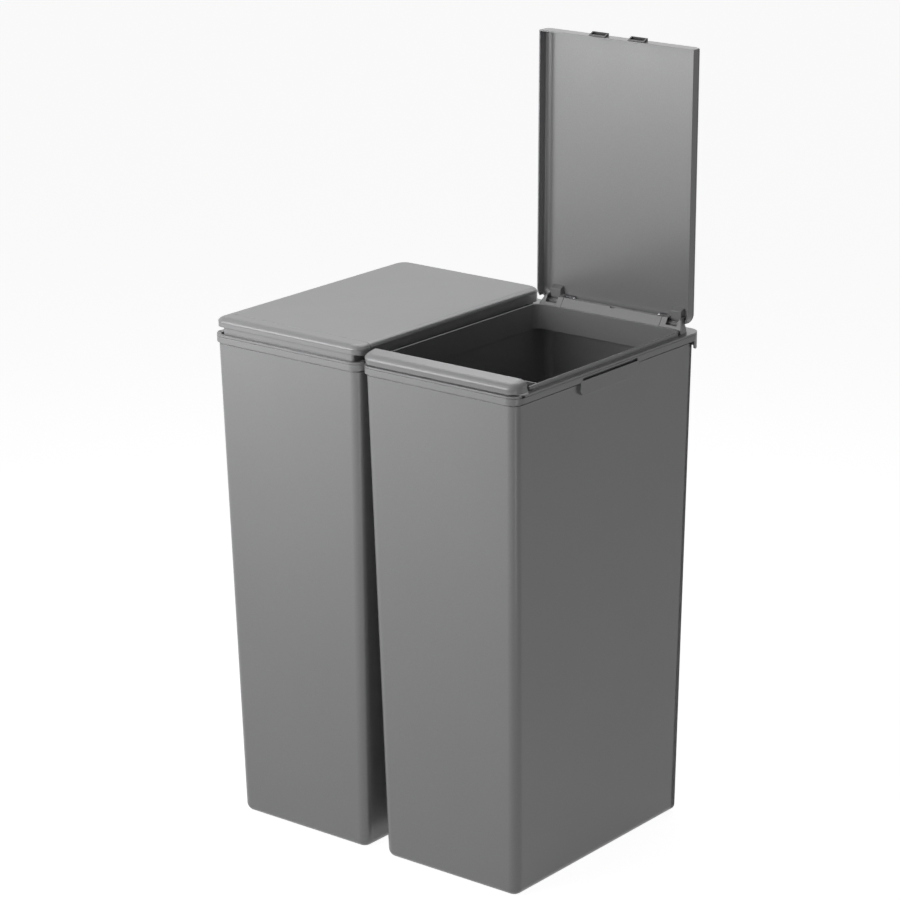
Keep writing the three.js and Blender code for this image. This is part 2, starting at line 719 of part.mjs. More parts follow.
function makeLid() {
  const outside = loft(softEdgeLevels(lidOutline, LID_BOTTOM, LID_TOP, 0));
  const inside = loft(softEdgeLevels(lidOutline, LID_BOTTOM - 1, LID_TOP - LID_WALL, LID_WALL));
  const rearOpening = box(
    -BLOCK_HALF_WIDTH - LID_REAR_GAP,
    BLOCK_HALF_WIDTH + LID_REAR_GAP,
    HINGE_Y,
    REAR,
    0,
    LID_TOP - LID_REAR_SKIRT
  );
  const knuckles = bothSides(lidKnuckle).intersect(outside);
  const bore = rod(HINGE_PIN_RADIUS + PIN_CLEARANCE, -NOTCH_OUTER, NOTCH_OUTER, HINGE_Y, HINGE_HEIGHT);
  return cut(union(cut(outside, inside, rearOpening), knuckles), bore);
}

// A snap hook: two ramped cheeks under a flat ledge, hollow between, on the lid's front wall.
function makeHook(side) {
  const wall = FRONT + LID_FRONT - SEAT_GAP;
  const nose = FRONT + LID_FRONT - HOOK_REACH;
  const outline = polygon([
    [wall, LID_TOP - HOOK_BOTTOM],
    [nose, LID_TOP - HOOK_NOSE_BOTTOM],
    [nose, LID_TOP - HOOK_NOSE_TOP],
    [wall, LID_TOP - HOOK_NOSE_TOP],
  ]);
  const middle = side * HOOK_OFFSET;
  const x0 = middle - HOOK_WIDTH / 2;
  const x1 = middle + HOOK_WIDTH / 2;
  const hollow = box(
    x0 + HOOK_WALL,
    x1 - HOOK_WALL,
    nose - 1,
    wall - HOOK_WALL / 2,
    LID_TOP - HOOK_BOTTOM - 1,
    LID_TOP - HOOK_NOSE_BOTTOM
  );
  return cut(alongX(outline, x0, x1), hollow);
}

// ---------------------------------------------------------------- press bar

const barOutline = {
  half: LID_HALF,
  front: FRONT + BAR_FRONT,
  rear: FRONT + BAR_REAR,
  frontCorner: BAR_CORNER,
  rearCorner: SQUARE_CORNER,
  sideRun: EDGE_RUN,
  frontRun: EDGE_RUN,
  rearRun: 0,
  frontStep: SKIRT_STEP,
  rearStep: 0,
};

function barArm() {
  const x0 = PIVOT_OFFSET - ARM_WALL / 2;
  const x1 = PIVOT_OFFSET + ARM_WALL / 2;
  const neckBottom = LID_TOP - NECK_DROP;
  const underLid = alongX(
    polygon([
      [FRONT + NECK_FRONT + 1, neckBottom],
      [PIVOT_Y, PIVOT_HEIGHT - ARM_RADIUS],
      [PIVOT_Y, PIVOT_HEIGHT + ARM_RADIUS],
      [FRONT + NECK_REAR, ARM_TOP],
      [FRONT + NECK_FRONT + 1, ARM_TOP],
    ]),
    x0,
    x1
  );
  const rib = box(x0, x1, FRONT + NECK_FRONT + 1, FRONT + NECK_REAR, neckBottom, LID_TOP - NECK_TOP);
  const boss = rod(ARM_RADIUS, x0, x1, PIVOT_Y, PIVOT_HEIGHT);
  const bore = rod(PIVOT_PIN_RADIUS + PIN_CLEARANCE, x0 - 1, x1 + 1, PIVOT_Y, PIVOT_HEIGHT);
  return cut(union(underLid, rib, boss), bore);
}

function makePressBar() {
  const travel = THREE.MathUtils.degToRad(BAR_TRAVEL);
  const lower = LID_TOP - BAR_SKIRT;
  const deepest = lower - (BAR_REAR - BAR_FRONT) * Math.tan(travel);
  const outside = loft(softEdgeLevels(barOutline, deepest, LID_TOP, 0));
  const hollowOutline = { ...barOutline, rear: FRONT + BAR_REAR + BAR_WALL + 1 };
  const inside = loft(softEdgeLevels(hollowOutline, deepest - 1, LID_TOP - BAR_WALL, BAR_WALL));
  // The lower edge slopes so that it lies level when the bar is pressed.
  const below = alongX(
    polygon([
      [FRONT + BAR_FRONT - 1, deepest - 5],
      [FRONT + BAR_REAR + 1, deepest - 5],
      [FRONT + BAR_REAR + 1, deepest - Math.tan(travel)],
      [FRONT + BAR_FRONT - 1, lower + Math.tan(travel)],
    ]),
    -HALF_WIDTH,
    HALF_WIDTH
  );
  const neckLevel = {
    half: NECK_HALF_WIDTH,
    front: FRONT + NECK_FRONT,
    rear: FRONT + NECK_REAR + NECK_CORNER,
    frontCorner: NECK_CORNER,
    rearCorner: SQUARE_CORNER,
  };
  const neckHollow = {
    ...neckLevel,
    half: NECK_HALF_WIDTH - NECK_WALL,
    front: neckLevel.front + NECK_WALL,
    rear: neckLevel.rear + NECK_WALL,
    frontCorner: NECK_CORNER - NECK_WALL / 2,
  };
  const neckBottom = LID_TOP - NECK_DROP;
  const neckTop = LID_TOP - NECK_TOP;
  const neck = cut(
    prism(neckLevel, neckBottom, neckTop),
    prism(neckHollow, neckBottom - 1, neckTop + 1),
    box(-HALF_WIDTH, HALF_WIDTH, FRONT + NECK_REAR, 0, 0, LID_TOP)
  );
  const ribs = RIB_OFFSETS.flatMap((offset) => (offset === 0 ? [0] : [-offset, offset])).map((x) =>
    box(
      x - RIB_WALL / 2,
      x + RIB_WALL / 2,
      FRONT + NECK_FRONT + 1,
      FRONT + NECK_REAR,
      LID_TOP - RIB_DROP,
      neckTop
    )
  );
  return union(cut(outside, inside, below), neck, bothSides(barArm), ...ribs);
}

function makeBarPin(side) {
  const reach = ARM_WALL / 2 + SIDE_PLAY + EAR_WALL;
  const pin = rod(PIVOT_PIN_RADIUS, PIVOT_OFFSET - reach, PIVOT_OFFSET + reach, PIVOT_Y, PIVOT_HEIGHT);
  return side < 0 ? pin.mirror([1, 0, 0]) : pin;
}

// ---------------------------------------------------------------- materials

const finishes = {
  body: { color: 0x8d8e90, roughness: 0.42, metalness: 0.35 },
  trim: { color: 0x9b9ca0, roughness: 0.4, metalness: 0.35 },
  dark: { color: 0x3a3b3d, roughness: 0.6, metalness: 0 },
  steel: { color: 0xa9abb0, roughness: 0.3, metalness: 0.9 },
};

function piece(name, solid, finish) {
  const mesh = new THREE.Mesh(toGeometry(solid), new THREE.MeshStandardMaterial(finishes[finish]));
  mesh.name = name;
  return mesh;
}

// ---------------------------------------------------------------- assembly

// A group whose pieces turn about a line along X; angle in degrees, front downwards.
function turned(y, z, angle, pieces) {
  const inner = new THREE.Group();
  inner.position.set(0, -y, -z);
  inner.add(...pieces);
  const outer = new THREE.Group();
  outer.position.set(0, y, z);
  outer.rotation.x = THREE.MathUtils.degToRad(angle);
  outer.add(inner);
  return outer;
}

function makeBin(name, lidAngle, barAngle) {
  const bin = new THREE.Group();
  const lid = piece(`${name}_lid`, makeLid(), "body");
  const bar = piece(`${name}_press_bar`, makePressBar(), "body");
  const hooks = [];
  bin.add(piece(`${name}_bucket`, makeBucket(), "body"));
  bin.add(piece(`${name}_collar`, makeCollar(), "trim"));
  bin.add(piece(`${name}_hinge_cover`, makeHingeCover(), "trim"));
  for (const [label, side] of [["a", -1], ["b", 1]]) {
    hooks.push(piece(`${name}_latch_hook_${label}`, makeHook(side), "dark"));
    bin.add(piece(`${name}_hinge_pin_${label}`, makeHingePin(side), "steel"));
    bin.add(piece(`${name}_hinge_spring_${label}`, makeHingeSpring(side), "steel"));
    bin.add(piece(`${name}_bar_pin_${label}`, makeBarPin(side), "steel"));
  }
  bin.add(turned(HINGE_Y, HINGE_HEIGHT, -lidAngle, [lid, ...hooks]));
  bin.add(turned(PIVOT_Y, PIVOT_HEIGHT, barAngle, [bar]));
  return bin;
}

const LID_OPEN = 90;
const leftBin = makeBin("left", 0, 0);
leftBin.position.x = -BIN_PITCH / 2;
const rightBin = makeBin("right", LID_OPEN, BAR_TRAVEL);
rightBin.position.x = BIN_PITCH / 2;

const doubleBin = new THREE.Group();
doubleBin.add(leftBin, rightBin, piece("joining_clip", makeClip(), "dark"));

export default doubleBin;
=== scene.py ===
# %% [markdown]
# # A double recycling bin, piece by piece
# The object is a pair of slim household bins that stand side by side. Each has a tapered
# bucket, a collar on its rim, a hinged lid and a bar along the front that is pressed to
# free the lid. The solids come packed as a fixed frame, so this lesson only dresses them:
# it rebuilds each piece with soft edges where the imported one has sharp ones, gives each a
# finish, and lights the whole. Lengths are in millimetres until a mesh is finished; only
# the camera, the floor and the lamps are placed in metres.

import json
import math

import bmesh
import bpy
from mathutils import Matrix, Vector


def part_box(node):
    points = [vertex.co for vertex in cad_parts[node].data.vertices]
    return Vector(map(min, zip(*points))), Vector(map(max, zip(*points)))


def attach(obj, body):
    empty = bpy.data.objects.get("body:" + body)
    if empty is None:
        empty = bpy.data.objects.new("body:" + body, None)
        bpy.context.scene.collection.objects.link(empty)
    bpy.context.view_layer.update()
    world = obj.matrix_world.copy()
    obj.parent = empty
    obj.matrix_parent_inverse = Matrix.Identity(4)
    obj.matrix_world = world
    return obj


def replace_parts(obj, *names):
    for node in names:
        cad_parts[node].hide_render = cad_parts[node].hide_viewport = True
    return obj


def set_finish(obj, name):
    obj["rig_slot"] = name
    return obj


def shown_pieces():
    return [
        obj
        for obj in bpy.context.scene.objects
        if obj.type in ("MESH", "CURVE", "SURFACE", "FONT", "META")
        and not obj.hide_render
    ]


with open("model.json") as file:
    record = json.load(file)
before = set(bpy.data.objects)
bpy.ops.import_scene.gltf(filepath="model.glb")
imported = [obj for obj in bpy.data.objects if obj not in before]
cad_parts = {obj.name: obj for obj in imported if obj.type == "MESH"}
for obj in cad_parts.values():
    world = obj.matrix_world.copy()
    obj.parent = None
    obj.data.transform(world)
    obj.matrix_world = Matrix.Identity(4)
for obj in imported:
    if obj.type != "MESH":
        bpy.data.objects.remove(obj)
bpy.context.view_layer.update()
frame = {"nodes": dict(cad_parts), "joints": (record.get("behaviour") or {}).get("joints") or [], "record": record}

# %% [markdown]
# ## Measuring the frame
# The rim, the collar's foot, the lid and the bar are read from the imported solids' boxes, so
# the new pieces can't drift from them. The two axles are read from the joints. Every piece
# of one bin is described around that bin's own middle plane, because the bins are the same.

# %% Read sizes and axles from the frame
MM = 0.001
SIDES = ("left", "right")


def box_mm(node):
    low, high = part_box(node)
    return low / MM, high / MM


def joint_place(name):
    joint = next(j for j in frame["joints"] if j["name"] == name)
    return Vector(joint["pos_m"]) / MM


bucket_low, bucket_high = box_mm("left_bucket")
collar_low = box_mm("left_collar")[0]
lid_low, lid_high = box_mm("left_lid")
bar_low = box_mm("left_press_bar")[0]
hinge = joint_place("left_lid_hinge")
pivot = joint_place("left_bar_pivot")
BIN_X = {side: sum(v.x for v in box_mm(f"{side}_bucket")) / 2 for side in SIDES}
HALF = (bucket_high.x - bucket_low.x) / 2
FRONT = bucket_low.y
REAR = bucket_high.y
RIM_TOP = bucket_high.z
print(f"rim {2 * HALF:.1f} x {REAR - FRONT:.1f} at {RIM_TOP:.1f}, bins at {BIN_X}")

# %% [markdown]
# ## The camera
# A product picture is usually taken from far away with a long lens, so that upright edges
# stay nearly parallel. The place and the aim were found by matching the corners of the two
# bins, and the lens by how fast the far edges shrink.

# %% Place the camera
CAMERA_PLACE = Vector((2.288, -2.9425, 1.6176))
CAMERA_TARGET = Vector((0.0144, -0.0325, 0.4741))
LENS = 131.5
SENSOR_WIDTH = 36
PICTURE_SHIFT = (0.00016, 0.00063)
camera_data = bpy.data.cameras.new("photo_camera")
camera_data.lens = LENS
camera_data.sensor_width = SENSOR_WIDTH
camera_data.shift_x, camera_data.shift_y = PICTURE_SHIFT
camera = bpy.data.objects.new("photo_camera", camera_data)
camera.location = CAMERA_PLACE
camera.rotation_euler = (CAMERA_TARGET - CAMERA_PLACE).to_track_quat("-Z", "Y").to_euler()
bpy.context.collection.objects.link(camera)
bpy.context.scene.camera = camera
print(f"camera {(CAMERA_TARGET - CAMERA_PLACE).length:.2f} m from its target")

# %% [markdown]
# ## Outlines and lofts
# Nearly every part of a moulded bin is a rounded rectangle that changes size with height.
# A modeller could start from a cube and push edges about, but a loft says it directly: a
# stack of rings, all with the same number of points, joined by bands of quads. A ring may
# rise and fall along its run, which is how a rim gets a deeper stretch for a grip; where it
# steps, two of its points lie a hair apart.

# %% Rings of points
CORNER_STEPS = 10
TINY_CORNER = 2.0
LEAST_CORNER = 0.8
HAIR = 0.02


def outline(half, front, rear, corner, rear_corner=None):
    back = corner if rear_corner is None else rear_corner
    return {"half": half, "front": front, "rear": rear, "corner": corner, "rear_corner": back}


def shrink(shape, side, front=None, rear=None):
    front = side if front is None else front
    rear = side if rear is None else rear
    return outline(
        shape["half"] - side,
        shape["front"] + front,
        shape["rear"] - rear,
        max(shape["corner"] - min(side, front), LEAST_CORNER),
        max(shape["rear_corner"] - min(side, rear), LEAST_CORNER),
    )


def arc(cx, cy, radius, start, sweep=90.0, steps=CORNER_STEPS):
    angles = [math.radians(start + sweep * i / steps) for i in range(steps + 1)]
    return [(cx + radius * math.cos(a), cy + radius * math.sin(a)) for a in angles]


def corner(cx, cy, radius, start):
    """A quarter turn; a tiny one has doubled points, to be merged, and so long edges."""
    fine = 1 if radius < TINY_CORNER else CORNER_STEPS / 2
    turns = [round(2 * fine * i / CORNER_STEPS) / (2 * fine) for i in range(CORNER_STEPS + 1)]
    angles = [math.radians(start + 90 * t) for t in turns]
    return [(cx + radius * math.cos(a), cy + radius * math.sin(a)) for a in angles]


def ring(shape, z, side_stops=()):
    half, front, rear = shape["half"], shape["front"], shape["rear"]
    near, far = shape["corner"], shape["rear_corner"]
    points = corner(half - near, front + near, near, -90)
    points += [(half, y) for y in sorted(side_stops)]
    points += corner(half - far, rear - far, far, 0)
    points += corner(-half + far, rear - far, far, 90)
    points += [(-half, y) for y in sorted(side_stops, reverse=True)]
    points += corner(-half + near, front + near, near, 180)
    height = z if callable(z) else (lambda x, y: z)
    return [Vector((x, y, height(x, y))) for x, y in points]


# %% Lofts, prisms and rods
def loft(bm, levels, closed=False, side_stops=()):
    """Joins rings into a skin; a closed loft joins its last ring to its first."""
    rings = []
    for shape, z in levels:
        points = ring(shape, z, side_stops)
        rings.append([bm.verts.new(p) for p in points])
    count = len(rings[0])
    pairs = list(zip(rings, rings[1:]))
    if closed:
        pairs.append((rings[-1], rings[0]))
    for low, high in pairs:
        for i in range(count):
            j = (i + 1) % count
            bm.faces.new((low[i], low[j], high[j], high[i]))
    if not closed:
        bm.faces.new(rings[0][::-1])
        bm.faces.new(rings[-1])


def horseshoe(shape, z, rear):
    """A ring that is open behind, with both ends at one place along Y."""
    half, front, near = shape["half"], shape["front"], shape["corner"]
    points = [(-half, rear)]
    points += corner(-half + near, front + near, near, 180)
    points += corner(half - near, front + near, near, -90)
    points += [(half, rear)]
    height = z if callable(z) else (lambda x, y: z)
    return [Vector((x, y, height(x, y))) for x, y in points]


def loft_horseshoes(bm, levels, rear):
    """A loft through open rings; one flat face closes it behind."""
    rings = [[bm.verts.new(p) for p in horseshoe(s, z, rear)] for s, z in levels]
    for low, high in zip(rings, rings[1:]):
        for i in range(len(low) - 1):
            bm.faces.new((low[i], low[i + 1], high[i + 1], high[i]))
    bm.faces.new(rings[0][::-1])
    bm.faces.new(rings[-1])
    bm.faces.new([r[0] for r in rings] + [r[-1] for r in reversed(rings)])


def prism(bm, points, low, high, axis):
    """Pulls a flat outline out along X or Z."""
    if axis == "x":
        ends = [[Vector((d, u, v)) for u, v in points] for d in (low, high)]
    else:
        ends = [[Vector((u, v, d)) for u, v in points] for d in (low, high)]
    first, last = [[bm.verts.new(p) for p in end] for end in ends]
    count = len(points)
    for i in range(count):
        j = (i + 1) % count
        bm.faces.new((first[i], first[j], last[j], last[i]))
    bm.faces.new(first[::-1])
    bm.faces.new(last)
    return first + last


def block(bm, x, y, z):
    corners = [(x[0], y[0]), (x[1], y[0]), (x[1], y[1]), (x[0], y[1])]
    return prism(bm, corners, z[0], z[1], "z")


def disc(cy, cz, radius, steps=28):
    return arc(cy, cz, radius, 0, 360, steps)[:-1]


def both(bm, make):
    """Adds what make draws, and the same again mirrored to the bin's other side."""
    for sign in (1, -1):
        start = len(bm.verts)
        make()
        bm.verts.ensure_lookup_table()
        for vert in bm.verts[start:]:
            vert.co.x *= sign


# %% [markdown]
# ## From a sketch to a finished piece
# A moulded edge is never quite sharp, and a sharp one gives a render away at once because
# no light catches it. So every piece but the wire springs gets a narrow bevel on its hard
# edges and then weighted normals, which keep the large flat faces flat. A cutter runs a
# millimetre past the faces that it cuts. A cut can leave a face with a hollow corner, and a
# bevel spills across it, so such faces are split first. Pieces on the open bin are drawn
# shut and then turned about their own axle.

# %% Finish a piece
EDGE_ANGLE = math.radians(34)
BEVEL_SEGMENTS = 3
BUCKET_EDGE = 0.35
MOULDED_EDGE = 0.3
PIN_EDGE = 0.25
SMALL_EDGE = 0.2
MERGE_DISTANCE = 0.002
LEAST_EDGE = 0.001
PAST = 1


def turned(axle, degrees):
    spin = Matrix.Rotation(math.radians(degrees), 4, "X")
    centre = Vector((0, axle.y, axle.z))
    return Matrix.Translation(centre) @ spin @ Matrix.Translation(-centre)


STILL = Matrix.Identity(4)


def to_object(bm, name, side, turn=STILL):
    bmesh.ops.remove_doubles(bm, verts=bm.verts, dist=MERGE_DISTANCE)
    bmesh.ops.dissolve_degenerate(bm, edges=bm.edges, dist=LEAST_EDGE)
    bmesh.ops.recalc_face_normals(bm, faces=bm.faces)
    shift = Matrix.Translation((BIN_X.get(side, 0) * MM, 0, 0))
    bm.transform(shift @ Matrix.Scale(MM, 4) @ turn)
    mesh = bpy.data.meshes.new(name)
    bm.to_mesh(mesh)
    bm.free()
    piece = bpy.data.objects.new(name, mesh)
    bpy.context.collection.objects.link(piece)
    return piece


def soften(piece, width):
    piece.data.polygons.foreach_set("use_smooth", [True] * len(piece.data.polygons))
    piece.data.set_sharp_from_angle(angle=EDGE_ANGLE)
    bevel = piece.modifiers.new("soft edges", "BEVEL")
    bevel.width = width * MM
    bevel.segments = BEVEL_SEGMENTS
    bevel.limit_method = "ANGLE"
    bevel.angle_limit = EDGE_ANGLE
    bevel.use_clamp_overlap = False
    bevel.harden_normals = True
    weights = piece.modifiers.new("flat faces", "WEIGHTED_NORMAL")
    weights.keep_sharp = True


def carve(piece, cutters):
    """Cuts other objects out of a piece, for good, and splits faces with hollow corners."""
    for cutter in cutters:
        boolean = piece.modifiers.new("cut", "BOOLEAN")
        boolean.operation = "DIFFERENCE"
        boolean.solver = "EXACT"
        boolean.object = cutter
    bpy.context.view_layer.update()
    graph = bpy.context.evaluated_depsgraph_get()
    result = bpy.data.meshes.new_from_object(piece.evaluated_get(graph))
    bm = bmesh.new()
    bm.from_mesh(result)
    bmesh.ops.connect_verts_concave(bm, faces=bm.faces)
    bm.to_mesh(result)
    bm.free()
    piece.modifiers.clear()
    piece.data = result
    for cutter in cutters:
        bpy.data.objects.remove(cutter)


def finish_piece(piece, body, slot_name, nodes, edge):
    soften(piece, edge)
    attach(piece, body)
    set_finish(piece, slot_name)
    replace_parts(piece, *nodes)
    print(f"{piece.name}: {len(piece.data.polygons)} faces")
    return piece


# %% [markdown]
# ## The bucket
# One moulding: a body that draws in towards the floor, so that empty bins stack, and a rim
# that turns down all round like a gutter. At the rear the gutter is deeper, for fingers.
# In the middle of each side it drops into a flat socket with a slot above it, where the
# clip between the bins goes. A single loft goes up the outside, with a fine groove under
# the rim, round the gutter and down the inside; only the slots are cut afterwards. A
# liner in each socket is a piece of its own.

# %% Sizes of the bucket
BODY_HEIGHT = 600
RIM_CORNER = 16.4
RIM_WALL = 1.6
RIM_WEB = 1.8
BODY_CORNER = 12
LEAST_BODY_CORNER = 2.5
BODY_WALL = 1.9
BASE_WALL = 2.6
FOOT_ROUND = 9.6
BASE_RING = 14
BASE_RECESS = 1.2
OVERHANG = {"side": 3.5, "front": 3.0, "rear": 9.4}
TAPER = {"side": 10.5, "front": 21.8, "rear": 4.2}
GRIP_DROP = 10
GRIP_RETURN = 17
GRIP_CORNER = 3
SOCKET_MIDDLE = -4
SOCKET_HALF = 57.5
SOCKET_DROP = 16
SOCKET_CORNER = 8
ROUND_STEPS = 8
SLOT_HALF = 53.5
SLOT_SILL = 1.6
GROOVE_DEPTH = 1.2
GROOVE_HEIGHT = 2.4
rim = outline(HALF, FRONT, REAR, RIM_CORNER)


def body_outline(z, inward=0.0):
    drawn = 1 - min(z, BODY_HEIGHT) / BODY_HEIGHT
    return outline(
        HALF - OVERHANG["side"] - TAPER["side"] * drawn - inward,
        FRONT + OVERHANG["front"] + TAPER["front"] * drawn + inward,
        REAR - OVERHANG["rear"] - TAPER["rear"] * drawn - inward,
        max(BODY_CORNER - inward, LEAST_BODY_CORNER),
    )


# %% The gutter's lower edge
def corner_drop(distance, drop, radius):
    """How far an edge with a round end has dropped, this far in from the end."""
    if distance >= radius:
        return drop
    return drop - radius + math.sqrt(radius**2 - (radius - distance) ** 2)


def gutter_foot(x, y):
    from_grip = y - (REAR - GRIP_RETURN)
    from_socket = SOCKET_HALF - abs(y - SOCKET_MIDDLE)
    if from_grip >= 0:
        return BODY_HEIGHT - corner_drop(from_grip, GRIP_DROP, GRIP_CORNER)
    if from_socket >= 0:
        return BODY_HEIGHT - corner_drop(from_socket, SOCKET_DROP, SOCKET_CORNER)
    return BODY_HEIGHT


def round_end_stops(end, radius, inward):
    """Where an edge needs points: just outside its end, then round its corner."""
    angles = [math.radians(90 * i / ROUND_STEPS) for i in range(ROUND_STEPS + 1)]
    stops = [end - inward * HAIR]
    stops += [end + inward * radius * (1 - math.cos(a)) for a in angles]
    return stops


gutter_stops = (
    round_end_stops(SOCKET_MIDDLE - SOCKET_HALF, SOCKET_CORNER, 1)
    + round_end_stops(SOCKET_MIDDLE + SOCKET_HALF, SOCKET_CORNER, -1)
)
print(f"{len(gutter_stops)} points shape the socket's lower edge")


# %% Levels of the bucket
def foot_levels(floor, radius, inward):
    levels = []
    for i in range(ROUND_STEPS + 1):
        angle = math.radians(90 * i / ROUND_STEPS)
        z = floor + radius * (1 - math.cos(angle))
        levels.append((body_outline(z, inward + radius * (1 - math.sin(angle))), z))
    return levels


def bucket_levels():
    web_bottom = RIM_TOP - RIM_WEB
    standing = FOOT_ROUND + BASE_RING
    levels = [
        (body_outline(0, standing), BASE_RECESS),
        (body_outline(0, standing), 0),
    ]
    levels += foot_levels(0, FOOT_ROUND, 0)
    levels += [
        (body_outline(BODY_HEIGHT - GROOVE_HEIGHT), BODY_HEIGHT - GROOVE_HEIGHT),
        (body_outline(BODY_HEIGHT, GROOVE_DEPTH), BODY_HEIGHT - GROOVE_HEIGHT + HAIR),
        (body_outline(BODY_HEIGHT, GROOVE_DEPTH), BODY_HEIGHT),
        (body_outline(BODY_HEIGHT), BODY_HEIGHT + HAIR),
        (body_outline(BODY_HEIGHT), web_bottom),
        (shrink(rim, RIM_WALL), web_bottom),
        (shrink(rim, RIM_WALL), gutter_foot),
        (rim, gutter_foot),
        (rim, RIM_TOP),
        (body_outline(BODY_HEIGHT, BODY_WALL), RIM_TOP),
        (body_outline(BODY_HEIGHT, BODY_WALL), BODY_HEIGHT),
    ]
    levels += foot_levels(BASE_WALL, FOOT_ROUND - BODY_WALL, BODY_WALL)[::-1]
    return levels


# %% The socket's liner and slot
def socket_path(inward):
    radius = SOCKET_CORNER - inward
    half = SOCKET_HALF - inward
    low = BODY_HEIGHT - SOCKET_DROP + inward
    left = arc(SOCKET_MIDDLE - half + radius, low + radius, radius, 180)
    right = arc(SOCKET_MIDDLE + half - radius, low + radius, radius, 270)
    top = BODY_HEIGHT + SLOT_SILL
    return [(SOCKET_MIDDLE - half, top), *left, *right, (SOCKET_MIDDLE + half, top)]


def add_liner(bm):
    path = socket_path(0) + socket_path(RIM_WALL)[::-1]
    inner = body_outline(BODY_HEIGHT - SOCKET_DROP)["half"] - BODY_WALL / 2
    both(bm, lambda: prism(bm, path, inner, HALF - RIM_WALL / 2, "x"))


def slot_cutters(side):
    cutters = []
    for sign in (-1, 1):
        bm = bmesh.new()
        reach = sorted((sign * (HALF - RIM_WALL - PAST), sign * (HALF + PAST)))
        run = (SOCKET_MIDDLE - SLOT_HALF, SOCKET_MIDDLE + SLOT_HALF)
        block(bm, reach, run, (BODY_HEIGHT + SLOT_SILL, RIM_TOP - RIM_WEB))
        cutters.append(to_object(bm, "slot_cutter", side))
    return cutters


# %% Make both buckets
def make_bucket(side):
    bm = bmesh.new()
    grip_end = REAR - GRIP_RETURN
    stops = gutter_stops + [grip_end - HAIR, grip_end]
    loft(bm, bucket_levels(), side_stops=stops)
    bucket = to_object(bm, f"{side}_bucket_body", side)
    carve(bucket, slot_cutters(side))
    return finish_piece(bucket, "bins", "bin_plastic", [f"{side}_bucket"], BUCKET_EDGE)


buckets = [make_bucket(side) for side in SIDES]

# %% Make both socket liners
def make_liner(side):
    bm = bmesh.new()
    add_liner(bm)
    liner = to_object(bm, f"{side}_socket_liners", side)
    soften(liner, SMALL_EDGE)
    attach(liner, "bins")
    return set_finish(liner, "bin_plastic")


liners = [make_liner(side) for side in SIDES]
print("liners close the sockets from below:", [p.name for p in liners])

# %% [markdown]
# ## The collar
# A frame that drops into the bucket's mouth. Its cross-section is a Z: a flange that lies
# on the rim, a low lip that keeps rain and crumbs out, and a skirt that goes down inside.
# Pulling that section round the mouth as a closed loft gives the whole ring at once. The
# lip starts only behind the bar, and the skirt hangs deep only round the rubbish opening.

# %% Sizes of the collar
COLLAR_SEAT = 0.3
COLLAR_FLANGE = 2.4
LIP_HEIGHT = 5.7
LIP_INSET = 5
OPENING_INSET = 7.6
SKIRT_INSET = 6
FRONT_THINNING = 1
OPENING_CORNER = 11
OPENING_REAR = 37
LIP_START = 32
BAY_FRONT = 4.9
BAY_REAR = 46.5
BAY_WALL = 2
BAY_CORNER = 7
BAY_SIDE_DROP = 8
BAY_SIDE_START = 12
flange_bottom = RIM_TOP + COLLAR_SEAT
flange_top = flange_bottom + COLLAR_FLANGE
lip_top = flange_top + LIP_HEIGHT
skirt_bottom = collar_low.z
print(f"collar: flange {flange_top:.1f}, lip {lip_top:.1f}, skirt {skirt_bottom:.1f}")


def mouth(inset):
    outward = OPENING_INSET - inset
    return outline(
        HALF - inset,
        FRONT + BAY_FRONT - max(outward - FRONT_THINNING, 0),
        REAR - OPENING_REAR + outward,
        BAY_CORNER,
        OPENING_CORNER + outward,
    )


def lip_height(x, y):
    return lip_top if y >= FRONT + LIP_START else flange_top


def skirt_foot(x, y):
    if y >= FRONT + BAY_REAR:
        return skirt_bottom
    if y >= FRONT + BAY_SIDE_START:
        return flange_top - BAY_SIDE_DROP
    return flange_bottom


# %% The ring and the wall behind the bar
def add_collar_ring(bm):
    lip_outer = mouth(LIP_INSET)
    lip_outer["front"] = FRONT + BAY_FRONT
    sections = [
        (rim, flange_bottom),
        (rim, flange_top),
        (lip_outer, flange_top),
        (lip_outer, lip_height),
        (mouth(OPENING_INSET), lip_height),
        (mouth(OPENING_INSET), skirt_foot),
        (mouth(SKIRT_INSET), skirt_foot),
        (mouth(SKIRT_INSET), flange_bottom),
    ]
    stops = []
    for step in (LIP_START, BAY_REAR, BAY_SIDE_START):
        stops += [FRONT + step - HAIR, FRONT + step]
    loft(bm, sections, closed=True, side_stops=stops)


def add_bay_wall(bm):
    reach = HALF - OPENING_INSET + HAIR
    run = (FRONT + BAY_REAR, FRONT + BAY_REAR + BAY_WALL)
    block(bm, (-reach, reach), run, (skirt_bottom, lip_top))


# %% [markdown]
# ### The hinge block
# Behind the mouth a low ridge carries the lid's two hinges. It slopes up from the lip, is
# flat on top, and leaves a notch at each end for the lid's knuckle, with a low wall before
# and behind it. Its ends swell out to a broad foot, which stiffens the collar. Beside each
# notch a round ear reaches back about the hinge pin.

# %% Sizes of the hinge block
BLOCK_FRONT = 34
BLOCK_CREST = 26.3
BLOCK_REAR = 23
BLOCK_STEP = 4.5
BLOCK_HEIGHT = 15.6
BLOCK_END_INSET = 7
BLOCK_LEAN = 5.6
BLOCK_SWELL = 1.1
CHEEK_WALL = 9.3
OUTER_HORN = 2.4
NOTCH_WIDTH = 15.7
BLOCK_SOLID = 8
BLOCK_SINK = 0.5
COVER_LEAN = 0.6
CHEEK_LAYERS = 8
CHEEK_CHAMFER = 1.5
HORN_WALL = 6
HORN_RADIUS = 2.85
HORN_ROOT = 4.4
HORN_SWEEP = 181.537
EAR_STEPS = 16
SILL_WALL = 2.8
SILL_HEIGHT = 9.1
BACK_WALL = 2
BACK_HEIGHT = 10
block_half = HALF - BLOCK_END_INSET
notch_outer = block_half - CHEEK_WALL
notch_inner = notch_outer - NOTCH_WIDTH
